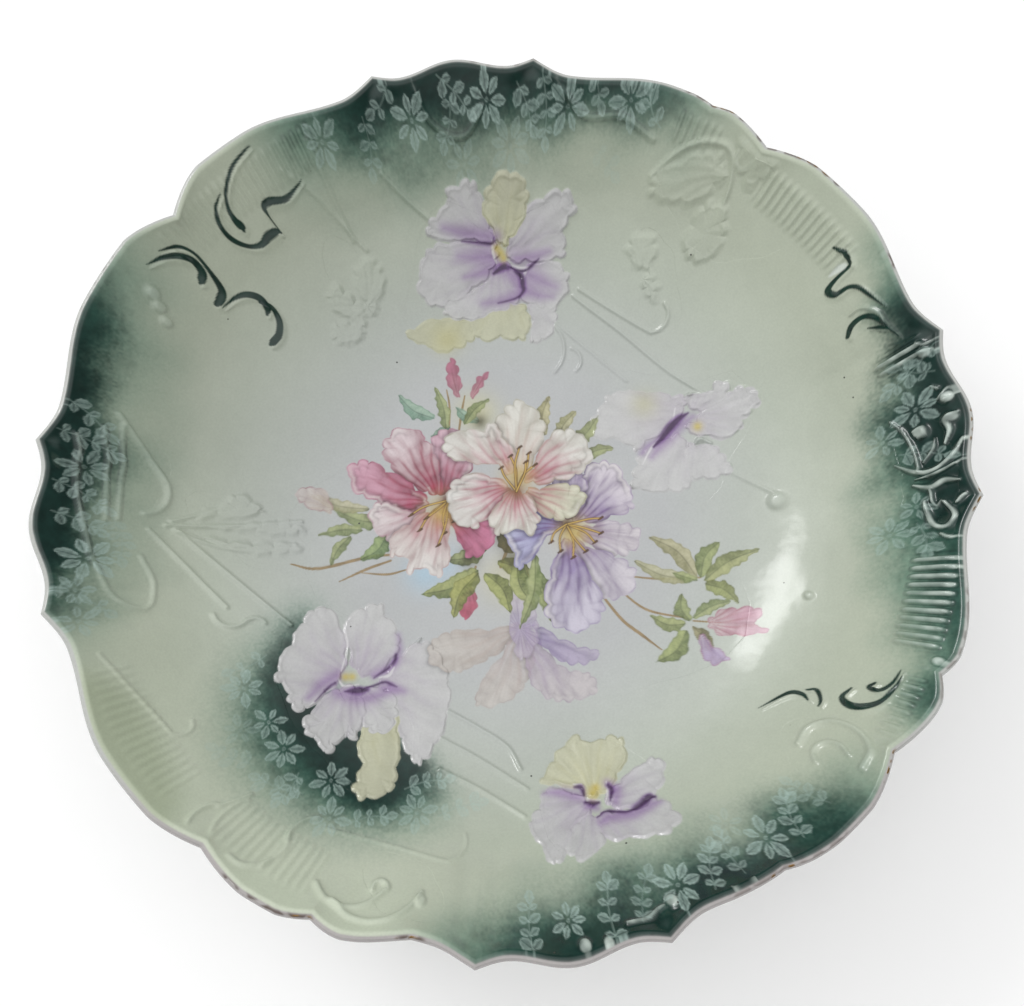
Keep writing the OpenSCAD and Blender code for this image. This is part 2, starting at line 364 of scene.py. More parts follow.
class Paint:
    """Layers of colour over a set of points, laid in order like the real glaze colours."""

    def __init__(self, points, ground):
        self.at = points
        self.rgb = ground
        self.ink = np.zeros_like(points.x)

    def lay(self, index, colour, alpha):
        alpha = np.clip(alpha, 0, 1)[:, None]
        colour = np.asarray(colour, float)
        if colour.ndim == 1:
            colour = linear(colour)
        self.rgb[index] += alpha * (colour - self.rgb[index])

    def band(self, colour, alpha, soft, inner, fade):
        """Airbrushed colour from a wavy inner radius out to the rim, fading at both ends."""
        angle = np.array([a for a, _ in inner], float)
        middle = (angle[0] + angle[-1]) / 2
        here = np.mod(self.at.angle - middle + 180, 360) - 180 + middle
        edge = np.interp(here, angle, [r for _, r in inner])
        wave = 2.5 * ripple(self.at.x, self.at.y, 16, 3) + 1.1 * grain(self.at.x, self.at.y, 0.6)
        across = smooth((self.at.r - edge + wave) / soft)
        ends = smooth((here - angle[0]) / fade) * smooth((angle[-1] - here) / fade)
        self.lay(slice(None), colour, alpha * across * ends)

    def wash(self, colour, alpha, soft, outline):
        """A closed shape with an airbrushed edge, half of the softness on either side of it."""
        ring = curve(outline, 4, closed=True)
        index = self.at.near(ring, soft)
        x, y = self.at.x[index], self.at.y[index]
        spatter = 0.07 * soft * grain(x, y, 0.6)
        self.lay(index, colour, alpha * smooth(0.5 + (inside_depth(x, y, ring) + spatter) / soft))

    def glow(self, colour, alpha, centre, radius):
        """A soft round spot."""
        index = self.at.near(np.array([centre], float), 2 * radius)
        far = np.hypot(self.at.x[index] - centre[0], self.at.y[index] - centre[1])
        self.lay(index, colour, alpha * np.exp(-((far / radius) ** 2)))

    def stroke(self, colour, width, path, alpha=1.0, soft=0.25):
        """A brush line; each point of the path may carry its own share of the width."""
        line = curve([(tuple(p) + (1,))[:3] for p in path])
        index = self.at.near(line, width / 2 + soft)
        far, along = along_line(self.at.x[index], self.at.y[index], line)
        half = width / 2 * np.interp(along * (len(line) - 1), np.arange(len(line)), line[:, 2])
        self.lay(index, colour, alpha * smooth((half - far) / soft + 0.5))

    def petal(
        self,
        outline,
        heart,
        near_heart,
        tip,
        streak=None,
        strength=0.5,
        rate=30,
        line=None,
        alpha=1.0,
        scallop=0.9,
        spacing=5.0,
        curl=0.0,
        shade=0.24,
    ):
        """A painted petal: two colours, streaks, shaded folds, a turned edge and a drawn line."""
        ring = curve(outline, 6, closed=True)
        index = self.at.near(ring, 2)
        x, y = self.at.x[index], self.at.y[index]
        depth, wave = petal_depth(x, y, ring, scallop, spacing)
        far = np.hypot(x - heart[0], y - heart[1])
        turn = np.arctan2(y - heart[1], x - heart[0])
        t = np.clip(far / np.hypot(ring[:, 0] - heart[0], ring[:, 1] - heart[1]).max(), 0, 1)
        brush = grain(turn * 16 + 3 * heart[0], far * 0.16, 1.0) + 0.6 * grain(turn * 36, far * 0.3, 1.0)
        mix = smooth(t * 1.35 + 0.08 * np.sin(turn * 9) + 0.1 * brush + 0.08 * ripple(x, y, 3, 4))[:, None]
        colour = linear(near_heart) + mix * (linear(tip) - linear(near_heart))
        pleats = 0.5 * (0.5 + 0.5 * np.sin(turn * 11 + far / 4))
        fold = (1 - wave) * np.exp(-np.maximum(depth, 0) / 3.5) + pleats
        fold = np.clip(fold + 0.3 * brush, 0, 1) * smooth(depth / 1.5 + 0.4)
        tint = 0.0 if line is None else 0.7 * linear(line)
        colour = colour * (1 - shade * fold[:, None] * (1 - tint))
        if streak is not None:
            comb = (0.5 + 0.5 * np.sin(turn * rate + 1.5 * np.sin(far / 3))) ** 2
            fade = smooth(1.5 - 1.55 * t + 0.25 * brush) * strength * (0.3 + 0.7 * comb)
            colour = colour + fade[:, None] * (linear(streak) - colour)
        if curl:
            side = smooth(0.5 + 1.5 * np.sin(2 * turn + heart[0] + 0.6 * len(outline)))
            side = side * smooth(0.7 + 0.8 * np.sin(5 * turn + heart[1]))
            lit = curl * side * np.exp(-(((depth - 0.9) / 0.7) ** 2))
            under = 0.7 * curl * side * np.exp(-(((depth - 2.0) / 0.5) ** 2))
            colour = colour + lit[:, None] * (linear(TURNED_EDGE) - colour)
            colour = colour * (1 - 0.7 * under)[:, None]
        if line is not None:
            rim = np.exp(-(((depth - 0.2) / 0.28) ** 2)) * (0.45 + 0.25 * ripple(x, y, 4, 9))
            colour = colour + rim[:, None] * (linear(line) * 0.85 - colour)
            shadow = 0.45 * self.ink[index] * np.exp(-((np.minimum(depth, 0) / 0.9) ** 2)) * (depth < 0.2)
            self.rgb[index] *= (1 - alpha * shadow)[:, None]
            colour = colour * PRINT_TONE
        cover = alpha * smooth(depth / 0.4 + 0.5)
        self.ink[index] = np.maximum(self.ink[index], cover)
        self.lay(index, colour, cover)

    def leaf(self, base, tip, width, bend, light, dark, alpha=1.0):
        """A pointed leaf with one dark half and a midrib."""
        a, b = np.array(base, float), np.array(tip, float)
        d = b - a
        n = np.array([-d[1], d[0]]) / np.hypot(*d)
        spine = curve([a, (a + b) / 2 + bend * n, b], 10)
        s = np.linspace(0, 1, len(spine))[:, None]
        uneven = 1 + 0.07 * np.sin(21 * s) + 0.05 * np.sin(34 * s + 1)
        half = 0.4 * width * np.sin(np.pi * s**0.8) ** 0.8 * uneven
        ring = np.concatenate([spine + half * n, (spine - half * n)[::-1]])
        index = self.at.near(ring, 0.4)
        x, y = self.at.x[index], self.at.y[index]
        depth = inside_depth(x, y, ring) + 0.3 * ripple(x, y, 2.2, 6)
        far, along = along_line(x, y, spine)
        side = (x - a[0]) * n[0] + (y - a[1]) * n[1] - np.interp(along, s[:, 0], (spine - a) @ n)
        veins = 0.5 + 0.5 * np.sin(along * 24 + np.abs(side) * 2.2)
        mix = smooth(0.5 + side / 1.6) * 0.6 + 0.22 * veins + 0.18 * grain(along * 30, side, 0.8)
        colour = PRINT_TONE * (linear(light) + mix[:, None] * (linear(dark) - linear(light)))
        rib = np.exp(-((far / 0.22) ** 2)) * 0.6 + np.exp(-(((depth - 0.2) / 0.25) ** 2)) * 0.4
        colour = colour + rib[:, None] * (linear(dark) * 0.45 - colour)
        cover = alpha * smooth(depth / 0.4 + 0.5)
        self.ink[index] = np.maximum(self.ink[index], cover)
        self.lay(index, colour, cover)

    def stencil_flower(self, centre, radius, alpha, petals, turn):
        """A white printed flower of slim, slightly uneven petals round an open middle."""
        middle = np.array(centre, float)
        for k in range(petals):
            angle = turn + 0.9 * radius + 2 * np.pi * k / petals + 0.12 * np.sin(5 * k + centre[0])
            way = np.array([np.cos(angle), np.sin(angle)])
            reach = radius * (0.96 + 0.12 * np.sin(3 * k + centre[1]))
            self.stencil_leaf(middle + 0.2 * radius * way, middle + reach * way, alpha, 0.25)
        self.stencil_leaf(middle - [0.6, 0], middle + [0.6, 0], 0.6 * alpha, 0.5)

    def stencil_sprig(self, base, tip, pairs, alpha, size=3.2, bend=0.8):
        """A white printed twig with pairs of small leaves."""
        a, b = np.array(base, float), np.array(tip, float)
        d = b - a
        n = np.array([-d[1], d[0]]) / np.hypot(*d)
        u = d / np.hypot(*d)
        self.stroke(STENCIL_TWIG, 0.4, [a, (a + b) / 2 + bend * n, b], alpha * 0.7)
        for k in range(pairs):
            root = a + d * (k + 0.4) / pairs + bend * n * np.sin(np.pi * (k + 0.4) / pairs)
            for side in (-1, 1):
                grown = size * (1 + 0.2 * np.sin(4 * k + side + a[0]))
                lean = 0.5 + 0.25 * np.sin(7 * k + a[1])
                self.stencil_leaf(root, root + grown * (0.85 * side * n + lean * u), alpha)
        self.stencil_leaf(b - 0.3 * size * u, b + 0.9 * size * u, alpha)

    def stencil_leaf(self, root, end, alpha, slim=0.33):
        """A small printed leaf: thin and patchy inside, strong at its edge, clear along the midrib."""
        d = end - root
        length = np.hypot(*d)
        index = self.at.near(np.array([root, end]), 1.5)
        x, y = self.at.x[index] - root[0], self.at.y[index] - root[1]
        t = np.clip((x * d[0] + y * d[1]) / length**2, 0, 1)
        across = np.hypot(x - t * d[0], y - t * d[1])
        half = slim * length * np.sin(np.pi * t**1.1) ** 0.8
        depth = half - across + 0.12 * ripple(x + root[0], y + root[1], 0.8, 3)
        patchy = 0.8 + 0.25 * grain(x + root[0], y + root[1], 0.5)
        fill = 0.62 + 0.4 * np.exp(-(((depth - 0.15) / 0.3) ** 2)) - 0.4 * np.exp(-((across / 0.16) ** 2))
        self.lay(index, STENCIL_PALE, 1.45 * alpha * patchy * smooth(depth / 0.5 + 0.5) * fill)


# ---- The irises and the buds: a heart, and petals as (kind, outline), in laying order

IRISES = {
    "back": {
        "heart": (-2, 87),
        "petals": [
            ("yellow", [(-34, 62), (-29, 66), (-22, 68.5), (-13, 68), (-9, 65), (-11, 61), (-17, 57.5),
                        (-24, 57)]),
            ("pale", [(7, 74), (7.5, 66), (8, 60), (13, 61), (16, 65), (17, 71), (13, 75)]),
            ("yellow", [(-12, 64), (-11, 71), (-3, 74), (6, 73), (8, 67), (6, 61), (-2, 61.5), (-8, 60.5)]),
            ("pale", [(-2, 86), (4, 83), (6, 77), (3, 72.5), (-5, 69.5), (-14, 67), (-21, 69), (-20, 74),
                      (-10, 78)]),
            ("pale", [(5, 83.5), (12, 86.5), (19, 84), (21, 79), (18.5, 73), (13, 70.5), (8, 72.5),
                      (4, 75)]),
            ("pale", [(-3, 86), (-4, 91.5), (-15, 91.5), (-25, 89.5), (-29, 84), (-30, 76), (-24, 71),
                      (-15, 74), (-7, 80)]),
            ("pale", [(-3, 91), (-6, 98), (-9, 105), (-13, 107), (-20, 104), (-21, 100), (-26, 96),
                      (-26, 91), (-15, 91)]),
            ("pale", [(0, 86), (0, 92), (3, 98), (10, 102.5), (18.5, 104.5), (23, 100), (21.5, 97),
                      (19, 94), (20, 88),
                      (16, 85.5), (8, 85)]),
            ("yellow", [(-2, 90), (-6, 95), (-8.5, 100), (-7, 105), (-2, 109), (4, 108.5), (7.5, 104),
                        (6, 98), (2, 92)]),
        ],
    },
    "right": {
        "heart": (60, 34),
        "petals": [
            ("pale", [(59, 40), (52, 42), (44, 43.5), (34, 43), (31, 39), (27, 33), (29, 27), (38, 25.5),
                      (42, 22),
                      (46, 25), (52, 29), (58, 35)]),
            ("pale", [(57, 28), (51, 27), (44, 23), (41, 17), (40, 10), (47, 8.5), (56, 8.5), (60, 11),
                      (60, 18)]),
            ("pale", [(58, 24), (58, 17), (60, 12.5), (68, 12), (72.5, 14.5), (71, 19), (68, 23),
                      (62, 25)]),
            ("pale", [(58, 29), (62, 34), (68, 38), (74, 41.5), (80, 40), (81.5, 35), (77, 31), (75, 27),
                      (68, 25)]),
            ("pale", [(58, 38), (59, 41.5), (65, 41), (68, 44.5), (72, 43.5), (71, 38), (64, 34)]),
        ],
    },
    "front_left": {
        "heart": (-47, -53),
        "petals": [
            ("pale", [(-40, -54), (-36, -47), (-30, -41), (-24, -40), (-19, -47), (-17, -57), (-19, -68),
                      (-23, -76),
                      (-27, -79), (-31, -74), (-34, -67), (-36, -58)]),
            ("pale", [(-47, -50), (-50, -42), (-51, -34), (-46, -29), (-40, -27.5), (-37.5, -31),
                      (-34, -36), (-33, -42),
                      (-36, -47), (-41, -52)]),
            ("pale", [(-50, -51), (-49.5, -42), (-52, -34), (-56, -29), (-62, -31), (-66, -39), (-69, -46),
                      (-70.5, -53),
                      (-66.5, -57), (-65.5, -61.5), (-61, -63.5), (-56, -59)]),
            ("yellow", [(-42, -60), (-34, -62), (-32, -70), (-32, -80), (-33, -86), (-38, -89),
                        (-42.5, -89.5), (-45, -86),
                        (-43.5, -79), (-45, -72), (-43, -66)]),
            ("pale", [(-45, -55), (-45, -61), (-43, -68), (-38, -70), (-33.5, -66), (-33, -60),
                      (-36, -55)]),
            ("pale", [(-46, -54), (-52, -55), (-57, -60), (-61, -65), (-60, -70), (-56, -73), (-54, -76),
                      (-51, -75),
                      (-49, -71.5), (-44.5, -71), (-43, -65), (-43, -58)]),
        ],
    },
    "front_right": {
        "heart": (25, -89),
        "petals": [
            ("pale", [(20, -95), (25, -93), (28, -97), (27, -103), (22, -107), (17, -105), (17, -99)]),
            ("pale", [(28, -88), (33, -83), (38, -79.5), (43, -76), (47, -79), (46, -84), (43, -88),
                      (37, -91.5), (30, -92)]),
            ("pale", [(26, -93), (31, -92.2), (37, -92), (42, -88.5), (47, -91), (49, -95), (46, -99),
                      (39, -100.5),
                      (31, -101.5), (26, -98)]),
            ("pale", [(24, -89), (18, -86), (11, -85.5), (9, -91), (6, -96), (9, -103), (13, -108),
                      (18, -104),
                      (20, -97), (25, -93)]),
            ("yellow", [(23, -89), (21, -86), (15, -85.5), (9.5, -84), (12, -79), (16, -73), (21, -69),
                        (25, -71.5),
                        (30, -69.5), (35, -70.5), (36, -76), (33, -83), (28, -88)]),
        ],
    },
    "rim": {
        "heart": (70, 99),
        "petals": [
            ("plain", [(60, 94), (52, 96), (45, 99), (46, 105), (54, 107.5), (62, 107.5), (68, 105),
                       (69, 98)]),
            ("plain", [(70, 104), (72, 110), (78, 110), (83, 105), (84, 98), (79, 94), (73, 95)]),
            ("plain", [(62, 95), (56, 88), (58, 81), (66, 79), (71, 86), (69, 94)]),
        ],
    },
    "left": {
        "heart": (-102, -8),
        "petals": [
            ("plain", [(-99, -7), (-95, -2), (-90, 1), (-86, 6), (-80, 5), (-76, 0), (-84, -4)]),
            ("plain", [(-98, -8), (-88, -5), (-78, -2), (-68, -1), (-63, -5), (-70, -8), (-84, -8)]),
            ("plain", [(-98, -10), (-90, -9), (-80, -9), (-68, -8), (-64, -12), (-74, -15), (-86, -14)]),
        ],
    },
    "bud_left": {
        "heart": (-46, 70),
        "petals": [
            ("plain", [(-44, 66), (-50, 72), (-51, 80), (-46, 85), (-40, 82), (-40, 73)]),
            ("plain", [(-47, 62), (-55, 65), (-60, 71), (-56, 76), (-50, 73), (-45, 68)]),
            ("plain", [(-46, 61), (-52, 56), (-58, 58), (-57, 64), (-50, 66)]),
        ],
    },
    "bud_right": {
        "heart": (45, 78),
        "petals": [
            ("plain", [(44, 80), (39, 83), (38, 88), (42, 92), (48, 91), (50, 86), (48, 80)]),
            ("plain", [(46, 81), (43, 77), (45, 72), (49, 70), (51, 75), (49, 80)]),
        ],
    },
}

# ---- Green scrolls beside the medallions: (width, path with a share of the width at each point)

SCROLLS = [
    (2.3, [(-78.5, 103.5, 0.1), (-80, 102, 0.25), (-84, 97, 0.4), (-86.2, 91, 0.4), (-86, 87, 0.45),
           (-84.5, 84.7, 0.8), (-82.7, 83.6, 1), (-82.2, 82.8, 0.4)]),
    (2.2, [(-87.7, 90, 0.1), (-89.3, 86, 0.4), (-88.6, 82, 0.6), (-85.5, 79.6, 0.7), (-81, 79.3, 0.5),
           (-77.5, 80.8, 0.7), (-75.5, 83.3, 1), (-73, 85.2, 0.8), (-71.6, 85.3, 0.1)]),
    (1.9, [(-71.6, 85.3, 0.2), (-74.5, 88, 0.25), (-76, 90.2, 0.8), (-74.3, 92, 1), (-70, 93.6, 0.8),
           (-67.3, 96, 0.5), (-64.5, 99.3, 0.1)]),
    (2.3, [(-108, 65.5, 0.1), (-104, 68.7, 0.5), (-100, 70.6, 0.7), (-96.5, 70.7, 0.8), (-94.3, 68.6, 1),
           (-94.6, 66.4, 0.9), (-95, 65.4, 0.3)]),
    (2.3, [(-104.8, 70, 0.1), (-100, 72.8, 0.4), (-96, 72.7, 0.4), (-92.6, 69.8, 0.55), (-89.4, 65.7, 0.9),
           (-90, 62.8, 1), (-91, 61.4, 0.6)]),
    (2.1, [(-89.6, 60.9, 0.1), (-86, 64.6, 0.5), (-82.6, 66.6, 0.8), (-79, 66.6, 1), (-77, 64.4, 1),
           (-77, 62.5, 0.4)]),
    (2.1, [(-79, 65.6, 0.5), (-75.6, 64.8, 0.7), (-73.5, 61.4, 0.9), (-73.7, 57.5, 1), (-75.5, 54.8, 1),
           (-76.2, 54, 0.5)]),
    (1.3, [(99.5, 73, 0.5), (102.5, 70.5, 1), (103.8, 67.2, 0.7)]),
    (1.9, [(103.5, 66.5, 0.6), (100.5, 64.5, 0.7), (98.6, 62.2, 1), (100.5, 60.3, 0.9), (103.5, 61, 0.7),
           (106, 60, 0.6), (108.5, 57, 0.5), (112, 52.5, 0.1)]),
    (1.8, [(104, 47.4, 0.7), (104.8, 50, 1), (107, 51.3, 0.9), (109.5, 50.6, 0.8), (112, 48, 0.6),
           (116, 43, 0.1)]),
    (1.1, [(108.6, 47.8, 0.3), (112, 46.7, 1), (114, 45.5, 0.3)]),
    (1.5, [(74, -63, 0.1), (80, -60, 0.6), (83.5, -59, 1), (86, -60, 0.9), (87, -61.8, 0.4)]),
    (1.2, [(87, -58.5, 0.4), (89.5, -59, 1), (90, -62, 0.9), (89, -64, 0.3)]),
    (2.2, [(97.5, -59.5, 0.2), (95, -62, 0.7), (96, -64.6, 1), (99, -65.6, 1), (103, -64.6, 0.7),
           (107, -61, 0.4), (109, -58, 0.1)]),
    (1.3, [(103, -58.8, 0.5), (101.4, -60, 1), (103.5, -61.3, 1), (106.5, -59.5, 0.7), (109, -56, 0.2)]),
]

# ---- Plain raised lines: (height, width, path)

RIDGES = [
    (1.0, 2.0, [(-115, 21)] + arc((-111, 1), 8, 40, -70)),
    (0.7, 1.6, run((-114, 18), -90, 28)),
    (0.7, 1.6, run((-118, 16), -87, 27)),
    (0.8, 1.6, [(-124, 12), (-123, -6), (-119, -22)]),
    (0.7, 1.6, [(-119, -22), (-112, -34), (-105, -36), (-104, -28), (-108, -20)]),
    (0.8, 1.6, run((-102, -7), 28, 13) + arc((-84, 0), 4, 150, 20)),
    (0.8, 1.6, run((-103, -8.5), 10, 38)),
    (0.7, 1.6, arc((-84, 30), 43, 247, 293)),
    (0.8, 1.5, run((-107, -11), -44, 30)),
    (0.8, 1.5, run((-100, -10), -38, 42)),
    (0.8, 1.6, arc((-84, -33), 5, 200, 330) + arc((-77, -38), 3.5, 130, 40)),
    (0.45, 1.3, [(-112, -52), (-103, -62)] + arc((-91.5, -70), 3, 210, 390)),
    (0.7, 1.6, arc((-78, -98), 6, 175, 80) + [(-71, -89)]),
    (1.0, 2.0, [(55, 39, 0.5), (60, 40.5, 1), (66, 39.6, 0.6)]),
    (1.0, 1.8, [(61, 24.5, 0.6), (63, 25.8, 1), (66, 24.2, 0.7)]),
    (0.9, 2.2, [(69.6, 14.6, 0.8), (71, 16.4, 1)]),
    (0.8, 1.3, [(69, 42, 0.5), (72, 43, 1), (73, 40, 0.5)]),
    (0.8, 1.3, [(-49.6, -48, 0.4), (-49.2, -40, 0.9), (-48, -33, 0.7)]),
    (0.8, 1.3, [(-31, -42.6, 0.4), (-28.6, -41, 1), (-27, -39, 0.5)]),
    (0.7, 1.6, [(-18, -62), (-9, -67), (0, -73), (4, -80)]),
    (0.6, 1.5, [(-20, -80), (-8, -86), (5, -94)]),
    (0.6, 1.5, [(-21, -70), (-8, -77), (6, -86)]),
    (0.5, 1.5, arc((-68, -100), 10, 175, 110)),
    (0.75, 1.7, arc((-67, -100), 8, 225, 340) + arc((-53, -102), 7, 160, 90)),
    (0.9, 1.8, arc((-41, -108), 10.5, 205, 320) + arc((-34, -114), 2, 0, 180)),
    (0.9, 1.8, arc((-35, -108), 14, 220, 330)),
    (0.4, 1.3, [(-50, -98), (-34, -102)] + arc((-17, -101), 5.5, 260, 380)),
    (1.1, 2.0, arc((90, -77), 8, 165, -50)),
    (0.9, 1.8, arc((89, -79), 4, 200, 0)),
    (0.7, 1.5, run((24, 77), -33, 25) + arc((48, 67), 5, 270, 400)),
    (0.7, 1.5, run((22, 75), -38, 20) + run((53, 49), -36, 17)),
    (0.5, 1.3, run((16, 67), -41, 31)),
    (0.6, 1.4, arc((8, 58), 11, 45, -45)),
    (0.6, 1.4, arc((20, 54), 4.5, 70, -50)),
    (0.7, 1.6, run((-40, 105), -31, 23)),
    (0.5, 1.8, [(-62, 108), (-56, 98), (-50, 88)]),
    (0.4, 1.6, [(-70, 100), (-60, 96), (-46, 86)]),
    (0.9, 1.8, arc((74, 102.5), 3, 0, 340, 9)),
    (0.8, 1.8, [(46, 104), (54, 108), (62, 108.5), (69, 105), (70, 98), (68, 92)]),
    (0.9, 1.3, [(114.5, 19.5, 0.5), (117.5, 15, 0.8), (119.3, 9, 1), (120, 2, 1)]),
    (1.2, 1.6, [(115, 6, 0.3), (118, 3.2, 1), (121, 1.5, 1.2), (124, 2, 1), (127, 4.6, 1),
                (129.5, 9, 0.7)]),
    (1.0, 1.3, [(119, 0, 0.4), (123, 0.3, 1), (127, 1.8, 1), (130, 3.6, 0.6)]),
    (1.2, 1.7, [(126, 8.6, 0.4), (127.2, 12.5, 1), (126.6, 16, 1.2), (129, 17, 0.8)]),
    (1.0, 2.4, [(118.5, -1.5, 0.4), (122, -3.2, 1), (125, -2.2, 1.1), (128, -3, 0.4)]),
    (1.2, 1.7, [(121, -7, 0.6), (120.8, -11, 1), (121.6, -15, 1.1), (124, -16, 1), (126, -13, 1),
                (125, -8.5, 0.7)]),
    (1.0, 1.5, [(122.5, -18, 0.6), (124, -19.5, 1), (126.5, -19.6, 0.6)]),
    (1.2, 1.3, [(127.3, -9.4, 0.6), (129.2, -7.4, 1)]),
    (1.0, 1.4, [(125, 22, 0.5), (127, 24.5, 1), (128.6, 22.6, 0.8), (126.5, 21.4, 0.6)]),
    (0.9, 1.1, [(123.2, 26.2, 0.6), (124.8, 25, 1)]),
    (1.1, 2.0, [(119.8, 14.6, 0.7), (121.6, 15.2, 1), (122, 13, 0.8), (120.6, 12.4, 0.5)]),
    (0.9, 1.2, [(122, -4), (123, -9), (124.5, -8)]),
    (0.9, 1.2, [(121, 4.5, 0.5), (123.4, 8, 1), (124, 11, 0.4)]),
    (0.8, 1.2, [(104, 53, 0.3), (107, 54, 1), (111, 51, 1), (113, 47, 0.4)]),
    (0.9, 1.4, [(120.5, 40, 0.4), (122, 38.6, 1), (125, 39.6, 0.8)]),
    (0.8, 1.4, [(123.5, 36.8, 1), (125, 34.5, 0.6)]),
    (1.0, 1.8, [(41, -118.5, 0.5), (37, -121, 1), (31, -122.5, 0.6)]),
    (0.9, 1.6, [(58, -113.5, 0.4), (61, -113, 1), (64, -111, 0.5)]),
    (0.6, 1.8, [(-30, 126), (-24, 118), (-14, 116), (-8, 122)]),
    (0.6, 1.8, [(14, 128), (24, 119), (36, 118), (46, 112)]),
    (0.5, 1.6, [(84, 6), (78, 10), (72, 14)]),
]

# Raised knobs: (height, radius, centre).
KNOBS = [
    (1.0, 1.9, (-107, 58.5)),
    (1.0, 1.7, (-105.5, 55.5)),
    (0.9, 1.5, (-104, 52)),
    (1.3, 2.6, (85, 3)),
    (0.9, 1.2, (91.5, -29)),
    (1.0, 1.4, (112, 66.5)),
    (1.0, 1.4, (117, -55)),
    (1.1, 1.6, (121, 14)),
    (1.1, 1.6, (127, 22)),
    (1.0, 1.5, (128, 16)),
    (1.0, 1.5, (122, 36)),
    (1.1, 1.7, (43, -117)),
    (1.1, 1.7, (20, -128)),
    (1.0, 1.5, (26, -127)),
    (0.9, 1.5, (-23, -117)),
    (0.7, 1.2, (60, 40)),
    (0.7, 1.2, (67, 39.5)),
    (0.7, 1.2, (62.5, 25.5)),
    (0.7, 1.2, (71, 15.8)),
]

# Short radial ribs along the rim: (first angle, last angle, inner radius, outer radius, height).
RIB_BANDS = [
    (-24.5, -10.5, 117.5, 129.5, 1.3),
    (-37, -27, 123, 129.5, 0.7),
    (15.6, 19.6, 116, 129, 1.3),
    (33, 51, 118, 128, 0.6),
    (58, 66, 121, 130, 0.4),
    (118, 146, 118, 129, 0.4),
    (231, 246, 114, 128, 0.3),
    (206, 226, 117, 130, 0.22),
]
RIB_PITCH = 2.5


def add_ribs(relief):
    r, angle = relief.at.r, relief.at.angle
    for first, last, inner, outer, height in RIB_BANDS:
        here = np.mod(angle - first, 360)
        across = smooth((r - inner) / 2.5) * smooth((outer - r) / 2.5)
        ends = smooth(here / 1.5) * smooth((last - first - here) / 1.5) * (here < last - first)
        beat = 0.5 + 0.5 * np.cos(np.radians(here) * (inner + outer) / 2 * 2 * np.pi / RIB_PITCH)
        relief.h += height * across * ends * beat
        relief.ridge = np.maximum(relief.ridge, height * across * ends * beat)


def add_medallions(relief):
    """A shallow fan of ridges and a fold on each side, where the rim's four double points are."""
    r = relief.at.r
    for k in range(8):
        corner = PATTERN_TURN + 90 * (k // 2) + (MEDALLION_HALF if k % 2 else -MEDALLION_HALF)
        sideways = np.radians(np.mod(relief.at.angle - corner + 180, 360) - 180) * r
        reach = smooth((r - 88) / 40)
        relief.h += 0.6 * reach * np.exp(-((sideways / 2.2) ** 2))
        relief.h -= 0.35 * reach * np.exp(-(((np.abs(sideways) - 4.5) / 2.4) ** 2))


def shape_relief(points):
    relief = Relief(points)
    add_ribs(relief)
    add_medallions(relief)
    for height, width, path in RIDGES:
        relief.line(path, 0.85 * height, 0.85 * width)
    for width, path in SCROLLS:
        relief.line([(x + 0.8, y - 0.8, w) for x, y, w in path], 0.5, width * 1.2)
    for height, radius, centre in KNOBS:
        index = points.near(np.array([centre], float), 3 * radius)
        far = np.hypot(points.x[index] - centre[0], points.y[index] - centre[1])
        rise = height * np.exp(-((far / radius) ** 4))
        relief.h[index] += rise
        relief.ridge[index] = np.maximum(relief.ridge[index], rise)
    for iris in IRISES.values():
        for k, (kind, outline) in enumerate(iris["petals"]):
            plain = kind == "plain"
            relief.petal(outline, iris["heart"], (0.8 if plain else 0.55) + 0.06 * k, 2.4 if plain else 0.9)
    relief.h += 0.07 * ripple(points.x, points.y, 14, 5) * smooth((points.r - 60) / 20)
    return relief.h, relief.ridge


# ---- Painted decoration

DEEP_GREEN = (14, 40, 36)
DARK_GREEN = (34, 70, 61)
MID_GREEN = (96, 128, 112)
SCROLL_GREEN = (0, 40, 32)
POOLED_GREEN = (16, 38, 34)
# Pale on the crests: partly thin glaze, partly a painted highlight.
CREST_PALE_HIGHLIGHT = (202, 214, 206)
OUTSIDE_WHITE = (214, 215, 212)
LIP_WHITE = (178, 180, 176)
LIP_GREY = (150, 138, 140)
LIP_BROWN = (74, 56, 46)
WORN_GOLD = (134, 106, 68)

# Airbrushed bands: (colour, strength, softness, fade at the ends, [(angle, inner radius)...]).
BANDS = [
    (MID_GREEN, 0.85, 30, 12, [(54, 116), (75, 103), (90, 98), (108, 93), (132, 106)]),
    (MID_GREEN, 0.75, 32, 12, [(140, 116), (158, 98), (178, 92), (194, 98), (210, 118)]),
    (MID_GREEN, 0.9, 16, 8, [(-40, 125), (-27, 114), (-14, 104), (0, 100), (12, 107), (24, 116),
                             (38, 123)]),
    (MID_GREEN, 0.85, 28, 10, [(-106, 116), (-88, 102), (-70, 97), (-52, 104), (-34, 118)]),
    (DARK_GREEN, 0.95, 19, 10, [(60, 119), (76, 112), (92, 107), (112, 108), (125, 118)]),
    (DARK_GREEN, 0.95, 16, 8, [(150, 124), (163, 114), (178, 109), (192, 113), (204, 123)]),
    (DARK_GREEN, 0.92, 14, 7, [(-36, 127), (-22, 121), (-11, 113), (0, 107), (10, 108), (20, 113),
                               (30, 124)]),
    (DARK_GREEN, 0.95, 20, 8, [(-98, 116), (-82, 108), (-66, 107), (-52, 109), (-40, 116)]),
    (DEEP_GREEN, 0.85, 12, 10, [(68, 126), (82, 120), (97, 113), (112, 117), (119, 126)]),
    (DEEP_GREEN, 0.85, 11, 8, [(156, 126), (168, 116), (182, 115), (191, 120), (200, 127)]),
    (DEEP_GREEN, 0.9, 9, 5, [(-11, 124), (-5, 117), (3, 113), (12, 114), (20, 116), (27, 125)]),
    (DEEP_GREEN, 0.85, 11, 8, [(-92, 126), (-80, 117), (-64, 116), (-52, 120), (-42, 127)]),
]

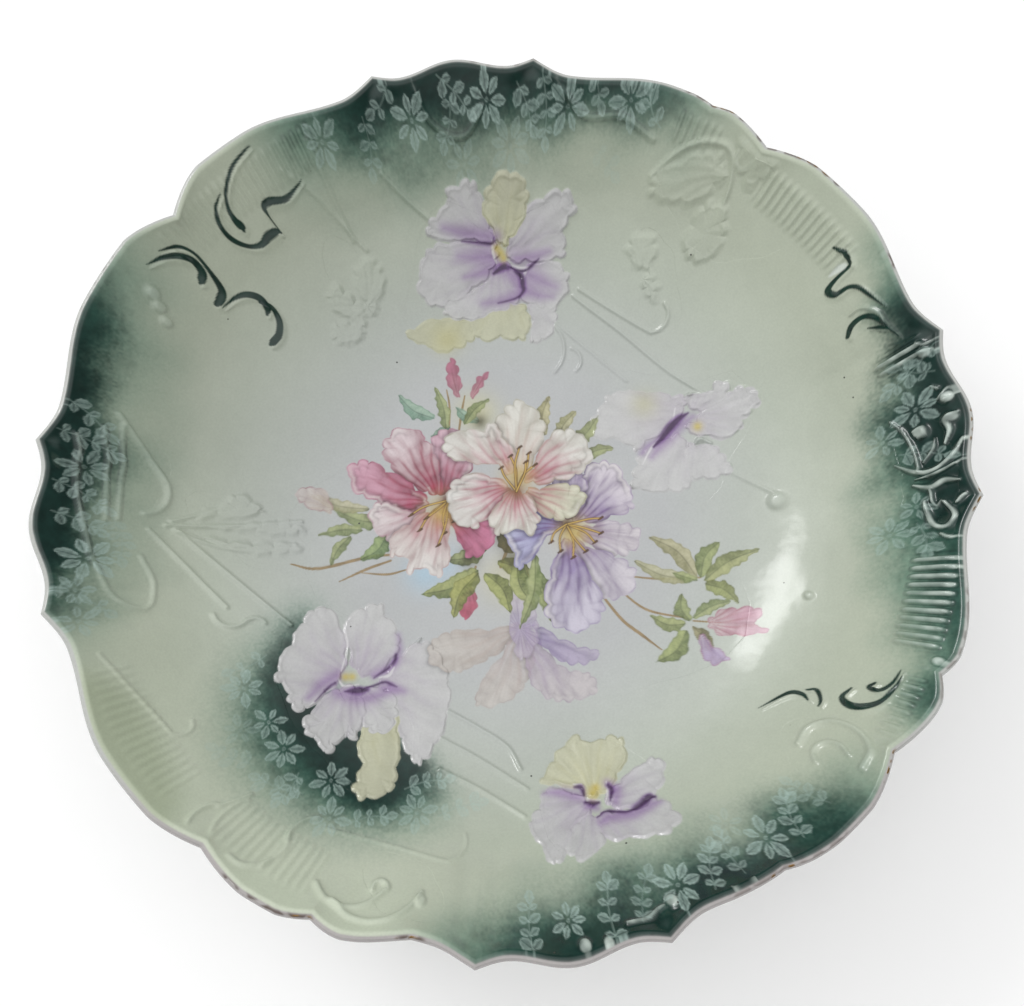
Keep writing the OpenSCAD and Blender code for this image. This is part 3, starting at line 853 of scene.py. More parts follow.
# Airbrushed shade round the front left iris: (colour, strength, softness, outline).
SHADES = [
    ((150, 161, 130), 0.5, 9, [(-115, -58), (-104, -62), (-94, -76), (-87, -92), (-90, -100), (-104, -86),
                               (-116, -70)]),
    (MID_GREEN, 0.8, 20, [(-62, -30), (-74, -40), (-82, -56), (-80, -74), (-70, -88), (-54, -98),
                          (-36, -100), (-22, -95), (-18, -87),
                          (-28, -76), (-42, -66), (-56, -48)]),
    (DARK_GREEN, 0.9, 13, [(-63, -34), (-71, -44), (-76, -58), (-72, -74), (-60, -87), (-43, -95),
                           (-27, -92), (-20, -84), (-28, -74),
                           (-42, -66), (-58, -52)]),
    (DEEP_GREEN, 0.9, 7, [(-66, -54), (-69, -64), (-63, -74), (-54, -83), (-46, -90), (-36, -92),
                          (-27, -86), (-24, -79), (-34, -70), (-50, -66)]),
    (DEEP_GREEN, 0.6, 7, [(-64, -36), (-71, -42), (-74, -52), (-70, -60), (-66, -52), (-62, -42)]),
]

# White printed flowers: (centre, radius, strength, number of petals).
STENCIL_FLOWERS = [
    ((-57.5, 108.5), 6, 0.45, 7),
    ((-30, 117.5), 6.5, 0.6, 7),
    ((-6.5, 123.5), 6.5, 0.6, 7),
    ((1, 114), 7, 0.3, 7),
    ((19, 121), 6.5, 0.55, 7),
    ((38.5, 121), 6.5, 0.5, 7),
    ((-14, 110), 6, 0.25, 6),
    ((-122, 3), 6, 0.45, 7),
    ((-119, -24), 7, 0.65, 7),
    ((-120, -34), 5, 0.5, 6),
    ((-118, -43), 5, 0.45, 6),
    ((-78, -57), 6, 0.5, 7),
    ((-70, -67), 5, 0.5, 6),
    ((-65, -75), 6, 0.5, 7),
    ((-51, -84), 6, 0.5, 7),
    ((-50, -95), 6, 0.45, 7),
    ((-77, -70), 5, 0.25, 6),
    ((-26, -93), 6, 0.4, 7),
    ((16, -122), 5, 0.6, 7),
    ((45, -113), 6.5, 0.6, 7),
    ((69, -101), 6.5, 0.55, 7),
    ((60, -97), 5, 0.25, 6),
    ((120, 21), 6, 0.5, 7),
    ((112.5, 14), 5, 0.4, 6),
    ((112, -15), 6, 0.4, 7),
    ((119, -8), 4.5, 0.4, 6),
]

# White printed twigs: (base, tip, pairs of leaves, strength).
STENCIL_SPRIGS = [
    ((-22, 128), (-12, 121), 3, 0.5),
    ((-18, 124), (-20, 114), 3, 0.4),
    ((3, 127), (8, 118), 3, 0.45),
    ((11, 129), (12, 115), 4, 0.45),
    ((25, 129), (29, 121), 3, 0.4),
    ((-45, 116), (-43, 105), 3, 0.35),
    ((-37, 125), (-42, 118), 2, 0.4),
    ((28, 112), (34, 106), 2, 0.2),
    ((48, 114), (44, 122), 2, 0.4),
    ((-126, 21), (-117, 14), 3, 0.45),
    ((-128, 12), (-116, 9), 4, 0.45),
    ((-128, -3), (-117, -8), 4, 0.5),
    ((-128, -12), (-118, -15), 3, 0.5),
    ((-115, -10), (-112, -22), 4, 0.35),
    ((-125, -34), (-113, -39), 3, 0.4),
    ((-73, -46), (-82, -52), 2, 0.4),
    ((-60, -82), (-64, -90), 3, 0.45),
    ((-58, -88), (-70, -84), 3, 0.35),
    ((-44, -96), (-34, -94), 3, 0.45),
    ((-20, -94), (-8, -90), 3, 0.35),
    ((-30, -86), (-18, -83), 3, 0.4),
    ((-72, -80), (-82, -76), 3, 0.25),
    ((7, -130), (6, -117), 4, 0.5),
    ((28, -127), (27, -112), 4, 0.5),
    ((35, -122), (38, -110), 4, 0.4),
    ((54, -114), (55, -103), 4, 0.5),
    ((62, -110), (58, -100), 3, 0.4),
    ((78, -101), (76, -90), 4, 0.45),
    ((86, -92), (78, -86), 3, 0.3),
    ((124, 38), (114, 28), 4, 0.4),
    ((116, 9), (126, 5), 3, 0.4),
    ((118, -13), (119, -22), 3, 0.4),
    ((124, 30), (116, 34), 2, 0.35),
]

LEAF_LIGHT = (176, 184, 132)
LEAF_DARK = (112, 128, 78)
TEAL_LIGHT = (170, 196, 176)
TEAL_DARK = (104, 142, 122)
TWIG = (134, 112, 74)

# Bouquet leaves behind all the flowers, then those in front of the faded one:
# (base, tip, width, bend, light side, dark side).
BACK_LEAVES = [
    ((-9, 33), (-17, 38), 5, 1, TEAL_LIGHT, TEAL_DARK),
    ((-24, 34), (-36, 42), 6.5, 1.5, TEAL_LIGHT, TEAL_DARK),
    ((-19, 31), (-25, 27), 4, 0, TEAL_LIGHT, TEAL_DARK),
    ((-20, 30), (-24, 45), 5, -1, LEAF_LIGHT, LEAF_DARK),
    ((-14, 32), (-6, 41), 5, 1, LEAF_LIGHT, LEAF_DARK),
    ((12, 28), (14, 42), 6, 1.5, (206, 200, 160), (150, 146, 96)),
    ((16, 26), (23, 37), 5.5, 1, (200, 196, 158), (146, 146, 98)),
    ((20, 24), (30, 35), 6, -1, LEAF_LIGHT, (134, 140, 96)),
    ((24, 20), (35, 24), 5, 1, LEAF_LIGHT, (134, 140, 96)),
    ((-36, -1), (-56, 3), 6.5, 2, LEAF_LIGHT, LEAF_DARK),
    ((-38, -4), (-47, -14), 7, 2, (160, 180, 120), (92, 120, 70)),
    ((-46, -4), (-60, -6), 5, -1, LEAF_LIGHT, LEAF_DARK),
    ((-50, -6), (-56, -16), 4.5, -1, LEAF_LIGHT, LEAF_DARK),
    ((-44, 3), (-64, 8), 5, 1.5, (206, 202, 172), (160, 160, 118)),
    ((60, -20), (45, -6), 7, -2.5, (196, 192, 156), (142, 140, 96)),
    ((60, -20), (40, -14), 6, 2, (198, 196, 164), (150, 150, 106)),
    ((61, -20), (68, -8), 7, 2, (168, 178, 120), (104, 118, 66)),
    ((62, -21), (79, -12), 7, 1.5, (180, 184, 130), (118, 128, 76)),
    ((62, -22), (72, -29), 6.5, 1.5, (166, 174, 112), (110, 118, 64)),
    ((60, -21), (52, -18), 4, 0, LEAF_LIGHT, LEAF_DARK),
    ((57, -34), (55, -25), 6, 1.5, (168, 178, 122), (104, 118, 68)),
    ((56, -35), (45, -32), 6, 1.5, (176, 184, 126), (112, 124, 72)),
    ((56, -37), (46, -47), 7.5, 2, (170, 180, 118), (98, 114, 62)),
    ((58, -36), (63, -45), 5, 1, (176, 170, 130), (120, 116, 76)),
    ((58, -33), (70, -28), 5, 1, LEAF_LIGHT, LEAF_DARK),
]
FRONT_LEAVES = [
    ((-6, -8), (-20, -14), 7, 2, LEAF_LIGHT, (84, 96, 50)),
    ((-9, -17), (-27, -25), 8.5, 2, (172, 178, 116), (96, 112, 58)),
    ((-9, -18), (-17, -33), 8, -2, (178, 180, 112), (108, 116, 60)),
    ((-7, -18), (1, -31), 8, 2, (172, 178, 112), (98, 108, 56)),
    ((-3, -14), (9, -22), 7, 1.5, (160, 164, 96), (88, 92, 44)),
    ((2, -12), (-2, -2), 6, 1, (126, 118, 60), (86, 74, 34)),
    ((3, -14), (9, -29), 8, -2, (176, 182, 120), (96, 112, 60)),
    ((8, -16), (14, -34), 7, 1, (168, 178, 118), (92, 112, 64)),
    ((9, -12), (4, -36), 6, 2, LEAF_LIGHT, LEAF_DARK),
]

# Bouquet stems and twigs: (width, path).
STEMS = [
    (1.0, [(-68, -16, 0.5), (-60, -17, 1), (-45, -13, 1), (-36, -12, 0.8)]),
    (0.9, [(-53, -21, 0.4), (-45, -17, 1), (-37, -14, 0.8)]),
    (0.8, [(-46, -18, 0.4), (-38, -18.5, 1), (-32, -17, 0.6)]),
    (1.0, [(29, -24, 0.8), (36, -33, 1), (42, -38, 1), (48, -43, 0.4)]),
    (0.8, [(36, -24, 0.8), (44, -30, 1), (56, -33, 0.7)]),
    (0.7, [(38, -19, 0.7), (48, -20, 1), (61, -20, 0.7)]),
    (0.8, [(-16, 28, 0.8), (-15, 36, 1), (-14, 42, 0.6)]),
    (0.7, [(-19, 28, 0.8), (-19, 38, 1), (-20, 44, 0.6)]),
    (1.1, [(-2, -16, 1), (1, -8, 1), (4, -3, 1)]),
    (0.9, [(-10, -16, 0.8), (-12, -24, 0.8)]),
    (0.7, [(58, -34, 0.8), (66, -35, 0.8)]),
]

DEEP_PINK = (160, 44, 78)
VIOLET = (112, 76, 148)
CRIMSON = (142, 28, 62)
PLUM = (92, 52, 122)
ROSE = (172, 52, 88)

# Bouquet flowers, the faded one first: a heart, and petals in laying order as
# (outline, colour near the heart, tip, streak, strength of the streaks, drawn edge).
BLOOMS = [
    {
        "heart": (4, -36),
        "petals": [
            ([(4, -34), (-6, -36), (-16, -36), (-24, -40), (-24, -47), (-16, -50), (-8, -47), (0, -42)],
             (200, 188, 184), (214, 206, 198), (188, 164, 150), 0.5, (178, 158, 146)),
            ([(4, -34), (-2, -44), (-8, -52), (-10, -60), (-2, -60), (5, -55), (9, -46), (8, -38)],
             (198, 190, 196), (216, 208, 202), (186, 160, 150), 0.5, (176, 160, 156)),
            ([(6, -34), (12, -42), (18, -48), (26, -50), (28, -56), (20, -59), (12, -58), (6, -50)],
             (186, 172, 196), (212, 202, 206), (166, 140, 176), 0.5, (168, 150, 172)),
            ([(8, -34), (14, -37), (22, -41), (29, -43), (26, -47), (18, -47), (10, -41)], (160, 140, 196),
             (188, 172, 206), VIOLET, 0.6, (140, 116, 168)),
            ([(1, -26), (7, -26), (10, -34), (9, -42), (4, -46), (1, -38)], (188, 176, 204),
             (206, 196, 210), VIOLET, 0.35, (166, 150, 178)),
        ],
    },
    {
        "heart": (-22, 5),
        "petals": [
            ([(-24, 9), (-26, 18), (-25, 27), (-19, 31), (-12, 27), (-11, 17), (-16, 8)],
             (168, 66, 100), (224, 190, 204), CRIMSON, 0.6, (160, 72, 108)),
            ([(-26, 8), (-33, 12), (-39, 18), (-41, 25), (-36, 31), (-29, 30), (-24, 24), (-21, 15),
              (-21, 8)],
             (166, 54, 90), (232, 216, 220), CRIMSON, 0.8, (168, 80, 114)),
            ([(-25, 6), (-31, 12), (-39, 17), (-46, 20), (-52, 17), (-50, 9), (-44, 6), (-37, 2), (-29, 1)],
             (172, 62, 98), (226, 176, 196), CRIMSON, 0.7, (168, 72, 108)),
            ([(-26, 4), (-33, 3), (-41, 6), (-45, 1), (-42, -5), (-36, -8), (-29, -4)],
             (196, 110, 138), (234, 222, 224), CRIMSON, 0.45, (176, 110, 134)),
            ([(-22, 3), (-17, -4), (-13, -13), (-6, -11), (-3, -3), (-6, 5), (-14, 10)],
             (158, 48, 84), (204, 124, 156), CRIMSON, 0.75, (148, 62, 98)),
            ([(-25, 3), (-33, -2), (-38, -8), (-37, -13), (-33, -13), (-31, -19), (-26, -17), (-22, -20),
              (-18, -14),
              (-18, -4), (-20, 2)],
             (206, 140, 150), (236, 230, 226), CRIMSON, 0.45, (184, 140, 140)),
        ],
    },
    {
        "heart": (20, -3),
        "petals": [
            ([(20, -1), (21, 8), (24, 16), (31, 20), (37, 17), (40, 10), (41, 3), (34, 0), (27, -2)],
             (150, 124, 178), (224, 216, 226), PLUM, 0.7, (140, 112, 166)),
            ([(22, -4), (30, -1), (37, -1), (43, -4), (42, -10), (36, -13), (29, -12)],
             (170, 146, 172), (230, 224, 228), PLUM, 0.5, (158, 136, 170)),
            ([(21, -6), (28, -10), (35, -12), (41, -17), (40, -24), (34, -27), (28, -25), (22, -16)],
             (166, 148, 186), (222, 216, 224), PLUM, 0.4, (146, 126, 172)),
            ([(19, -6), (24, -14), (29, -22), (31, -30), (26, -36), (18, -37), (12, -32), (12, -22),
              (15, -13)],
             (138, 112, 176), (216, 210, 226), PLUM, 0.6, (130, 108, 164)),
            ([(18, -3), (12, -8), (7, -15), (3, -17), (1, -10), (-1, -4), (3, 2), (10, 4), (16, 1)],
             (112, 92, 176), (190, 190, 222), PLUM, 0.75, (110, 96, 160)),
            ([(18, 0), (13, 4), (12, 10), (17, 15), (22, 18), (26, 13), (25, 5), (22, 0)],
             (128, 96, 164), (206, 194, 216), PLUM, 0.75, (124, 98, 152)),
        ],
    },
    {
        "heart": (3, 11),
        "petals": [
            ([(2, 15), (-3, 23), (-5, 31), (-1, 38), (4, 41), (9, 38), (13, 31), (10, 21), (6, 15)],
             (222, 210, 204), (234, 232, 224), (204, 160, 150), 0.3, (160, 156, 128)),
            ([(1, 14), (-5, 18), (-12, 18), (-20, 21), (-21, 27), (-14, 31), (-9, 30), (-5, 33), (0, 27),
              (3, 20)],
             (212, 160, 172), (236, 234, 228), ROSE, 0.45, (164, 158, 132)),
            ([(5, 13), (9, 20), (13, 28), (20, 31), (26, 27), (28, 21), (24, 15), (16, 12), (10, 11)],
             (200, 124, 146), (236, 234, 228), ROSE, 0.6, (166, 158, 134)),
            ([(6, 10), (13, 11), (21, 12), (26, 7), (22, 1), (15, -1), (9, 3)],
             (206, 160, 158), (228, 228, 206), ROSE, 0.5, (158, 152, 116)),
            ([(1, 11), (-6, 15), (-13, 15), (-18, 12), (-20, 6), (-17, -1), (-11, -4), (-7, -1), (-3, 1),
              (0, 6)],
             (204, 130, 152), (236, 234, 230), ROSE, 0.6, (164, 154, 138)),
            ([(2, 10), (-3, 6), (-6, -1), (-3, -6), (2, -4), (7, -6), (11, -1), (9, 5), (6, 9)],
             (206, 140, 152), (234, 232, 224), ROSE, 0.5, (164, 154, 134)),
        ],
    },
]

# Soft colour under the bouquet: (colour, strength, centre, radius); shadows among the leaves: (centre, radius).
SKY_BLUE = (156, 184, 202)
BOUQUET_GLOWS = [
    (SKY_BLUE, 0.7, (-26, -18), 6.5),
    (SKY_BLUE, 0.4, (-18, -15), 5),
    ((190, 186, 138), 0.6, (-10, 36), 7),
    ((190, 186, 146), 0.5, (-1, -20), 8),
    ((180, 180, 158), 0.35, (17, -24), 4),
]
SHADOW_BROWN = (74, 72, 44)
STAMEN_EDGE = (84, 60, 28)
STAMEN_GOLD = (190, 158, 84)
ANTHER_BROWN = (74, 48, 24)
LEAF_SHADOWS = [((-1, -6), 3.6), ((-12, -13), 3.2), ((2, -13), 3.4), ((-9, 33), 2.6), ((17, 22), 2.6)]

# Stamens of the three strong flowers, in the same order: (throat colour, shade, ends, root).
STAMENS = [
    ((176, 150, 78), (84, 30, 34), [(-28, -4), (-26, 0), (-20, -5), (-17, -1), (-15, 3), (-22, -9),
                                    (-31, 1)], (-19, 6)),
    ((180, 156, 76), (84, 58, 40), [(17, -11), (21, -13), (25, -11), (28, -8), (30, -5), (30, 0), (14, -8)],
     (19, -2)),
    ((178, 154, 90), (110, 70, 40), [(-2, 17), (1, 21), (4, 24), (7, 22), (9, 18), (6, 19)], (3, 9)),
]

# Buds: (outline, heart, near the heart, tip, streak).
BUDS = [
    ([(-16, 41), (-19, 44), (-20.4, 49), (-19.4, 55), (-16.8, 54), (-15.4, 49), (-14.8, 44)], (-16, 41),
     (206, 150, 164), (190, 100, 132), CRIMSON),
    ([(-12, 41), (-12, 45), (-9.6, 49), (-6, 50.5), (-7.4, 46), (-9.6, 42.6)], (-12, 41), (210, 160, 170),
     (196, 112, 140),
     CRIMSON),
    ([(-13, -21), (-16, -26), (-14, -33), (-11, -32), (-9, -27), (-11, -22)], (-12, -21), (204, 120, 146),
     (188, 60, 96), DEEP_PINK),
    ([(62, -35), (66, -31), (73, -30), (79, -32), (77, -36), (80, -39), (72, -40), (65, -39)], (62, -35),
     (222, 210, 212), (212, 160, 182), DEEP_PINK),
    ([(60, -38), (64, -42), (68, -47), (63, -49), (59, -44)], (60, -38), (214, 204, 220), (188, 168, 204),
     VIOLET),
    ([(-56, 2), (-62, 2), (-68, 6), (-65, 10), (-58, 9)], (-56, 3), (214, 206, 196), (222, 214, 210),
     (196, 176, 160)),
]


# Purple on the irises: (width, path) for the soft fades, then for the dark creases beside them.
PURPLE_FADES = [
    (5.0, [(-21, 94.5, 0.4), (-14, 93.5, 1), (-8, 93, 1), (-3.5, 93, 0.7)]),
    (6.0, [(-16, 87, 0.3), (-10, 87, 0.8), (-6, 87, 1), (-4, 86, 0.8)]),
    (4.0, [(-14, 81, 0.3), (-8, 82.5, 0.9), (-3, 84, 1)]),
    (5.5, [(0, 83, 0.6), (3.5, 80, 1), (4, 77, 0.9), (0, 74.5, 0.7), (-8, 73, 0.3)]),
    (5.0, [(3, 86.5, 0.6), (8, 87, 0.8), (14, 88.5, 0.2)]),
    (7.0, [(7, 82, 0.8), (11, 80, 0.8), (16, 78, 0.3)]),
    (5.0, [(6, 77, 0.8), (11, 75.5, 0.6), (15, 75, 0.2)]),
    (4.5, [(47, 20.5, 0.3), (51, 25.5, 0.9), (55.5, 30, 1), (60.5, 33.5, 0.4)]),
    (4.0, [(44, 22, 0.5), (46, 24.5, 0.6), (50, 27, 0.3)]),
    (4.5, [(-60, -59, 0.3), (-56, -54, 0.9), (-52, -51.5, 1)]),
    (5.0, [(-52, -57, 0.7), (-46, -58.5, 1), (-41, -58, 0.8), (-36, -56, 0.4)]),
    (4.0, [(-41, -51, 0.6), (-36, -48, 0.9), (-33.5, -43, 0.5), (-34, -38, 0.2)]),
    (4.5, [(-38, -55, 0.6), (-34, -55.5, 0.8), (-32, -56, 0.3)]),
    (4.0, [(11, -87.2, 0.3), (16, -87.2, 0.9), (21, -88, 1)]),
    (3.6, [(27, -96, 0.6), (30, -94.5, 1), (36, -94, 0.9), (41, -91.3, 1), (44, -90.3, 0.4)]),
    (3.6, [(29.5, -84.5, 0.7), (32, -86.5, 1), (31.5, -90, 0.6)]),
    (3.0, [(23, -91.5, 0.6), (26, -91.6, 0.8)]),
]
PURPLE_LINES = [
    (1.1, [(-15, 91.2, 0.2), (-9, 91, 0.7), (-5.2, 91, 0.9), (-4.4, 92.5, 0.3)]),
    (2.2, [(-4.5, 82.3, 0.3), (-2.5, 83.6, 0.8), (-1, 84.3, 1), (0.2, 84, 0.6)]),
    (1.7, [(2.5, 83, 0.3), (4.6, 81.5, 1), (5.2, 79, 1), (5.4, 77, 0.7), (3, 74.8, 0.4), (-3, 73.2, 0.15)]),
    (1.2, [(0.5, 84.3, 0.6), (4, 83.1, 0.5), (6.5, 83.3, 0.5), (8, 84.5, 0.8), (10.5, 86.5, 0.2)]),
    (2.2, [(47.8, 24, 0.3), (50.5, 26.8, 0.8), (53, 30, 1), (56, 33, 0.9), (59, 34.8, 0.2)]),
    (0.8, [(-58, -60, 0.2), (-54.5, -55.5, 0.8), (-52.6, -53.8, 0.6)]),
    (2.2, [(-49.5, -56.5, 0.2), (-47.5, -56.3, 0.8), (-45, -56, 1), (-43, -55.6, 0.6)]),
    (1.2, [(-43, -55, 0.4), (-38, -53.2, 0.6), (-35.8, -53.8, 0.8), (-34, -54.6, 0.2)]),
    (1.2, [(-41, -51.8, 0.2), (-37, -48.8, 0.6), (-35, -46.5, 1), (-34.5, -44.4, 0.6)]),
    (1.2, [(19.8, -85.5, 0.3), (21.8, -85.6, 1), (22.6, -88, 0.4)]),
    (1.8, [(22.8, -90.2, 0.4), (24.5, -90.3, 1), (26.6, -90, 0.4)]),
    (1.4, [(29.7, -85.3, 0.8), (30.6, -86.6, 1), (30, -89.6, 0.2)]),
    (1.6, [(26, -94.5, 0.2), (29, -92.7, 0.5), (34, -93.2, 0.5), (38, -91.2, 0.9), (40.8, -89, 1.1),
           (42.6, -88.6, 0.5)]),
]
# Painted highlights: pale shine on turned edges between the purple: (width, path).
FOLD_HIGHLIGHTS = [
    (0.8, [(1, 84.8, 0.4), (4.5, 83.9, 1), (7.4, 84.2, 0.6)]),
    (0.8, [(5.6, 80.2, 0.3), (6, 82.6, 1), (7.6, 84, 0.5)]),
    (0.9, [(-5, 91.8, 0.6), (-4.6, 88, 1), (-3.6, 85.4, 0.5)]),
    (1.0, [(-39.5, -51.6, 0.4), (-36.6, -51, 1), (-35, -48.4, 0.5)]),
    (0.8, [(-51.5, -52.8, 0.5), (-49.8, -54.6, 1), (-45.5, -54, 0.5)]),
    (0.8, [(-51, -50, 0.3), (-49.6, -42, 0.8), (-51, -35, 0.5)]),
    (0.7, [(-60, -62, 0.3), (-56, -57.6, 0.8), (-52.4, -54.8, 0.4)]),
    (0.9, [(44, 18, 0.3), (47, 23.6, 0.8), (53.6, 31.6, 0.8), (55, 36.6, 0.4)]),
    (0.9, [(22.9, -88.6, 0.5), (24, -89.3, 1), (27, -89.2, 0.5)]),
    (0.8, [(29.2, -84.2, 0.4), (29.4, -87, 0.9), (28.6, -90, 0.4)]),
    (0.7, [(19.6, -84.8, 0.5), (21.8, -84.8, 1)]),
]
# Yellow eyes of the irises: (centre, radius).
YELLOW_EYES = [
    ((-3.4, 89.6), 1.3),
    ((-2.2, 88.2), 1.5),
    ((-1.2, 86.8), 1.2),
    ((62, 30), 1.6),
    ((-49.6, -51.7), 1.3),
    ((-47.6, -51.6), 1.3),
    ((25.2, -87.4), 1.6),
    ((26, -85.8), 1.2),
]
YELLOW_NEAR = (184, 184, 156)
YELLOW_TIP = (182, 183, 160)
YELLOW_STREAK = (170, 167, 124)
IRIS_PALE = (185, 185, 185)
IRIS_STREAK = (150, 134, 162)
SOFT_PURPLE = (150, 126, 164)
MID_PURPLE = (124, 90, 144)
DEEP_PURPLE = (104, 68, 126)
DARK_PURPLE = (50, 26, 60)
FOLD_HIGHLIGHT_PALE = (206, 204, 206)
EYE_YELLOW = (182, 166, 92)


def paint_ground(points):
    """Grey-white on the floor, warming to pale green-cream up the wall, with painted light that makes the lower
    left paler.
    """
    r = points.r
    keys = [0, 50, 72, 92, 112, 134]
    tones = [
        (173, 174, 176),
        (172, 174, 175),
        (171, 176, 170),
        (172, 179, 166),
        (178, 185, 168),
        (177, 185, 166),
    ]
    rgb = np.stack([np.interp(r, keys, [linear(t)[c] for t in tones]) for c in range(3)], -1)
    # Painted light: the lower left of the bowl is made paler, for the light that falls there.
    painted_light_lower_left = smooth((-0.82 * points.x - 0.57 * points.y - 55) / 45)
    rgb *= 1 + (0.02 * ripple(points.x, points.y, 30, 8) + 0.17 * painted_light_lower_left)[:, None]
    return rgb


def paint_irises(paint):
    """Yellow petals and pale ones, less lavender on the right iris, then their purple, painted highlights and
    eyes.
    """
    edge = {"scallop": 1.1, "spacing": 6.5, "shade": 0.1}
    for name in ("back", "right", "front_left", "front_right"):
        heart = IRISES[name]["heart"]
        lavender = 0.5 if name == "right" else 1.0
        near = (184 - 12 * lavender, 184 - 18 * lavender, 184 - 9 * lavender)
        for kind, outline in IRISES[name]["petals"]:
            if kind == "yellow":
                paint.petal(outline, heart, YELLOW_NEAR, YELLOW_TIP, YELLOW_STREAK, 0.25, 20, **edge)
            else:
                paint.petal(outline, heart, near, IRIS_PALE, IRIS_STREAK, 0.22 * lavender, 22, **edge)
    paint.glow((176, 170, 112), 0.5, (-20, 61), 5)
    paint.glow((174, 172, 130), 0.5, (45, 38.5), 4.5)
    for width, path in PURPLE_FADES:
        paint.stroke(SOFT_PURPLE, width, path, 0.5, width)
        paint.stroke(MID_PURPLE, 0.5 * width, path, 0.45, 0.8 * width)
    # Painted highlights along the turned edges of the petals.
    for width, path in FOLD_HIGHLIGHTS:
        paint.stroke(FOLD_HIGHLIGHT_PALE, width, path, 0.7, 0.5)
    for width, path in PURPLE_LINES:
        paint.stroke(DEEP_PURPLE, 1.5 * width, path, 0.8, 1.3)
        paint.stroke(DARK_PURPLE, 0.8 * width, path, 0.8, 0.8)
    for spot, size in YELLOW_EYES:
        paint.glow(EYE_YELLOW, 0.9, spot, size)


def paint_bouquet(paint):
    for colour, strength, spot, size in BOUQUET_GLOWS:
        paint.glow(colour, strength, spot, size)
    for width, path in STEMS:
        paint.stroke(TWIG, width, path, 0.9)
    for base, tip, width, bend, light, dark in BACK_LEAVES:
        paint.leaf(base, tip, width, bend, light, dark, 0.92)
    for outline, heart, near, tip, streak in BUDS:
        paint.petal(outline, heart, near, tip, streak, 0.5, 24, (160, 84, 110), 0.85, shade=0.35)
    faded, *strong = BLOOMS
    for outline, near, tip, streak, strength, edge in faded["petals"]:
        paint.petal(outline, faded["heart"], near, tip, streak, strength, 26, edge, 0.7, curl=0.2, shade=0.35)
    for base, tip, width, bend, light, dark in FRONT_LEAVES:
        paint.leaf(base, tip, width, bend, light, dark, 0.95)
    for spot, size in LEAF_SHADOWS:
        paint.glow(SHADOW_BROWN, 0.75, spot, size)
    for bloom, stamen in zip(strong, STAMENS):
        heart = bloom["heart"]
        for outline, near, tip, streak, strength, edge in bloom["petals"]:
            paint.petal(outline, heart, near, tip, streak, strength, 34, edge, 0.97, scallop=1.3, spacing=7.0,
                        curl=0.5, shade=0.42)
        paint_throat(paint, *stamen)


def paint_throat(paint, throat, shade, ends, root):
    """A glowing throat with a dark heart, and thin curved stamens that end in small anthers."""
    middle = np.mean(np.concatenate([np.array(ends, float), [root]]), 0)
    paint.glow(throat, 0.85, tuple(0.5 * middle + 0.5 * np.array(root)), 5.2)
    paint.glow(shade, 0.9, root, 2.6)
    for k, end in enumerate(ends):
        middle = (0.45 * root[0] + 0.55 * end[0] + (1 if k % 2 else -1), 0.45 * root[1] + 0.55 * end[1] + 0.6)
        paint.stroke(STAMEN_EDGE, 0.85, [root, middle, end], 0.8, 0.35)
        paint.stroke(STAMEN_GOLD, 0.42, [root, middle, end], 0.8, 0.3)
        anther = [(end[0] - 0.7, end[1] - 0.5, 0.5), (end[0] + 0.6, end[1] + 0.4, 0.9)]
        paint.stroke(ANTHER_BROWN, 1.0, anther, 0.9)


def paint_scrolls(paint):
    for width, path in SCROLLS:
        paint.stroke(SCROLL_GREEN, width, path, 0.98, 0.35)
    # A painted highlight: a small pale spot on the right scroll.
    paint.wash((214, 222, 216), 0.7, 0.8, [(98.5, 65.8), (101, 68), (103, 67.5), (102, 66.2)])


def glaze_pools_and_crest_highlights(paint, ridge):
    """Coloured glaze gathers dark at the feet of the crests. The crests are painted pale, partly for glaze
    running thin there and partly as a painted highlight that glints unevenly.
    """
    green = smooth(1.2 - 3.2 * paint.rgb.mean(-1))
    foot = smooth(ridge / 0.12) * (1 - smooth((ridge - 0.16) / 0.2))
    thin_and_lit_crest = smooth((ridge - 0.4) / 0.5)
    paint.lay(slice(None), POOLED_GREEN, 0.5 * green * foot)
    # Painted highlight: the pale crests are mottled so that they glint like lit glaze.
    glint = 0.75 + 0.45 * grain(paint.at.x, paint.at.y, 1.7)
    paint.lay(slice(None), CREST_PALE_HIGHLIGHT, thin_and_lit_crest * (0.10 + 0.62 * green) * glint)


def paint_all(points, ridge):
    paint = Paint(points, paint_ground(points))
    for colour, strength, soft, fade, inner in BANDS:
        paint.band(colour, strength, soft, inner, fade)
    for colour, strength, soft, outline in SHADES:
        paint.wash(colour, strength, soft, outline)
    glaze_pools_and_crest_highlights(paint, ridge)
    paint_scrolls(paint)
    for base, tip, pairs, alpha in STENCIL_SPRIGS:
        paint.stencil_sprig(base, tip, pairs, alpha)
    for k, (centre, radius, alpha, petals) in enumerate(STENCIL_FLOWERS):
        paint.stencil_flower(centre, radius, alpha, petals, 0.7 * k)
    paint_irises(paint)
    paint_bouquet(paint)
    return paint.rgb


# ---- Meshes


def mesh_from(name, points, groups):
    """A mesh object from points in millimetres and groups of faces, each an array with one row per face."""
    mesh = bpy.data.meshes.new(name)
    mesh.vertices.add(len(points))
    mesh.vertices.foreach_set("co", (points / 1000).astype(np.float32).ravel())
    sizes = np.concatenate([np.full(len(g), g.shape[1]) for g in groups])
    corners = np.concatenate([g.ravel() for g in groups])
    mesh.loops.add(len(corners))
    mesh.loops.foreach_set("vertex_index", corners.astype(np.int32))
    mesh.polygons.add(len(sizes))
    mesh.polygons.foreach_set("loop_start", (np.cumsum(sizes) - sizes).astype(np.int32))
    mesh.update(calc_edges=True)
    mesh.shade_smooth()
    piece = bpy.data.objects.new(name, mesh)
    bpy.context.scene.collection.objects.link(piece)
    return piece


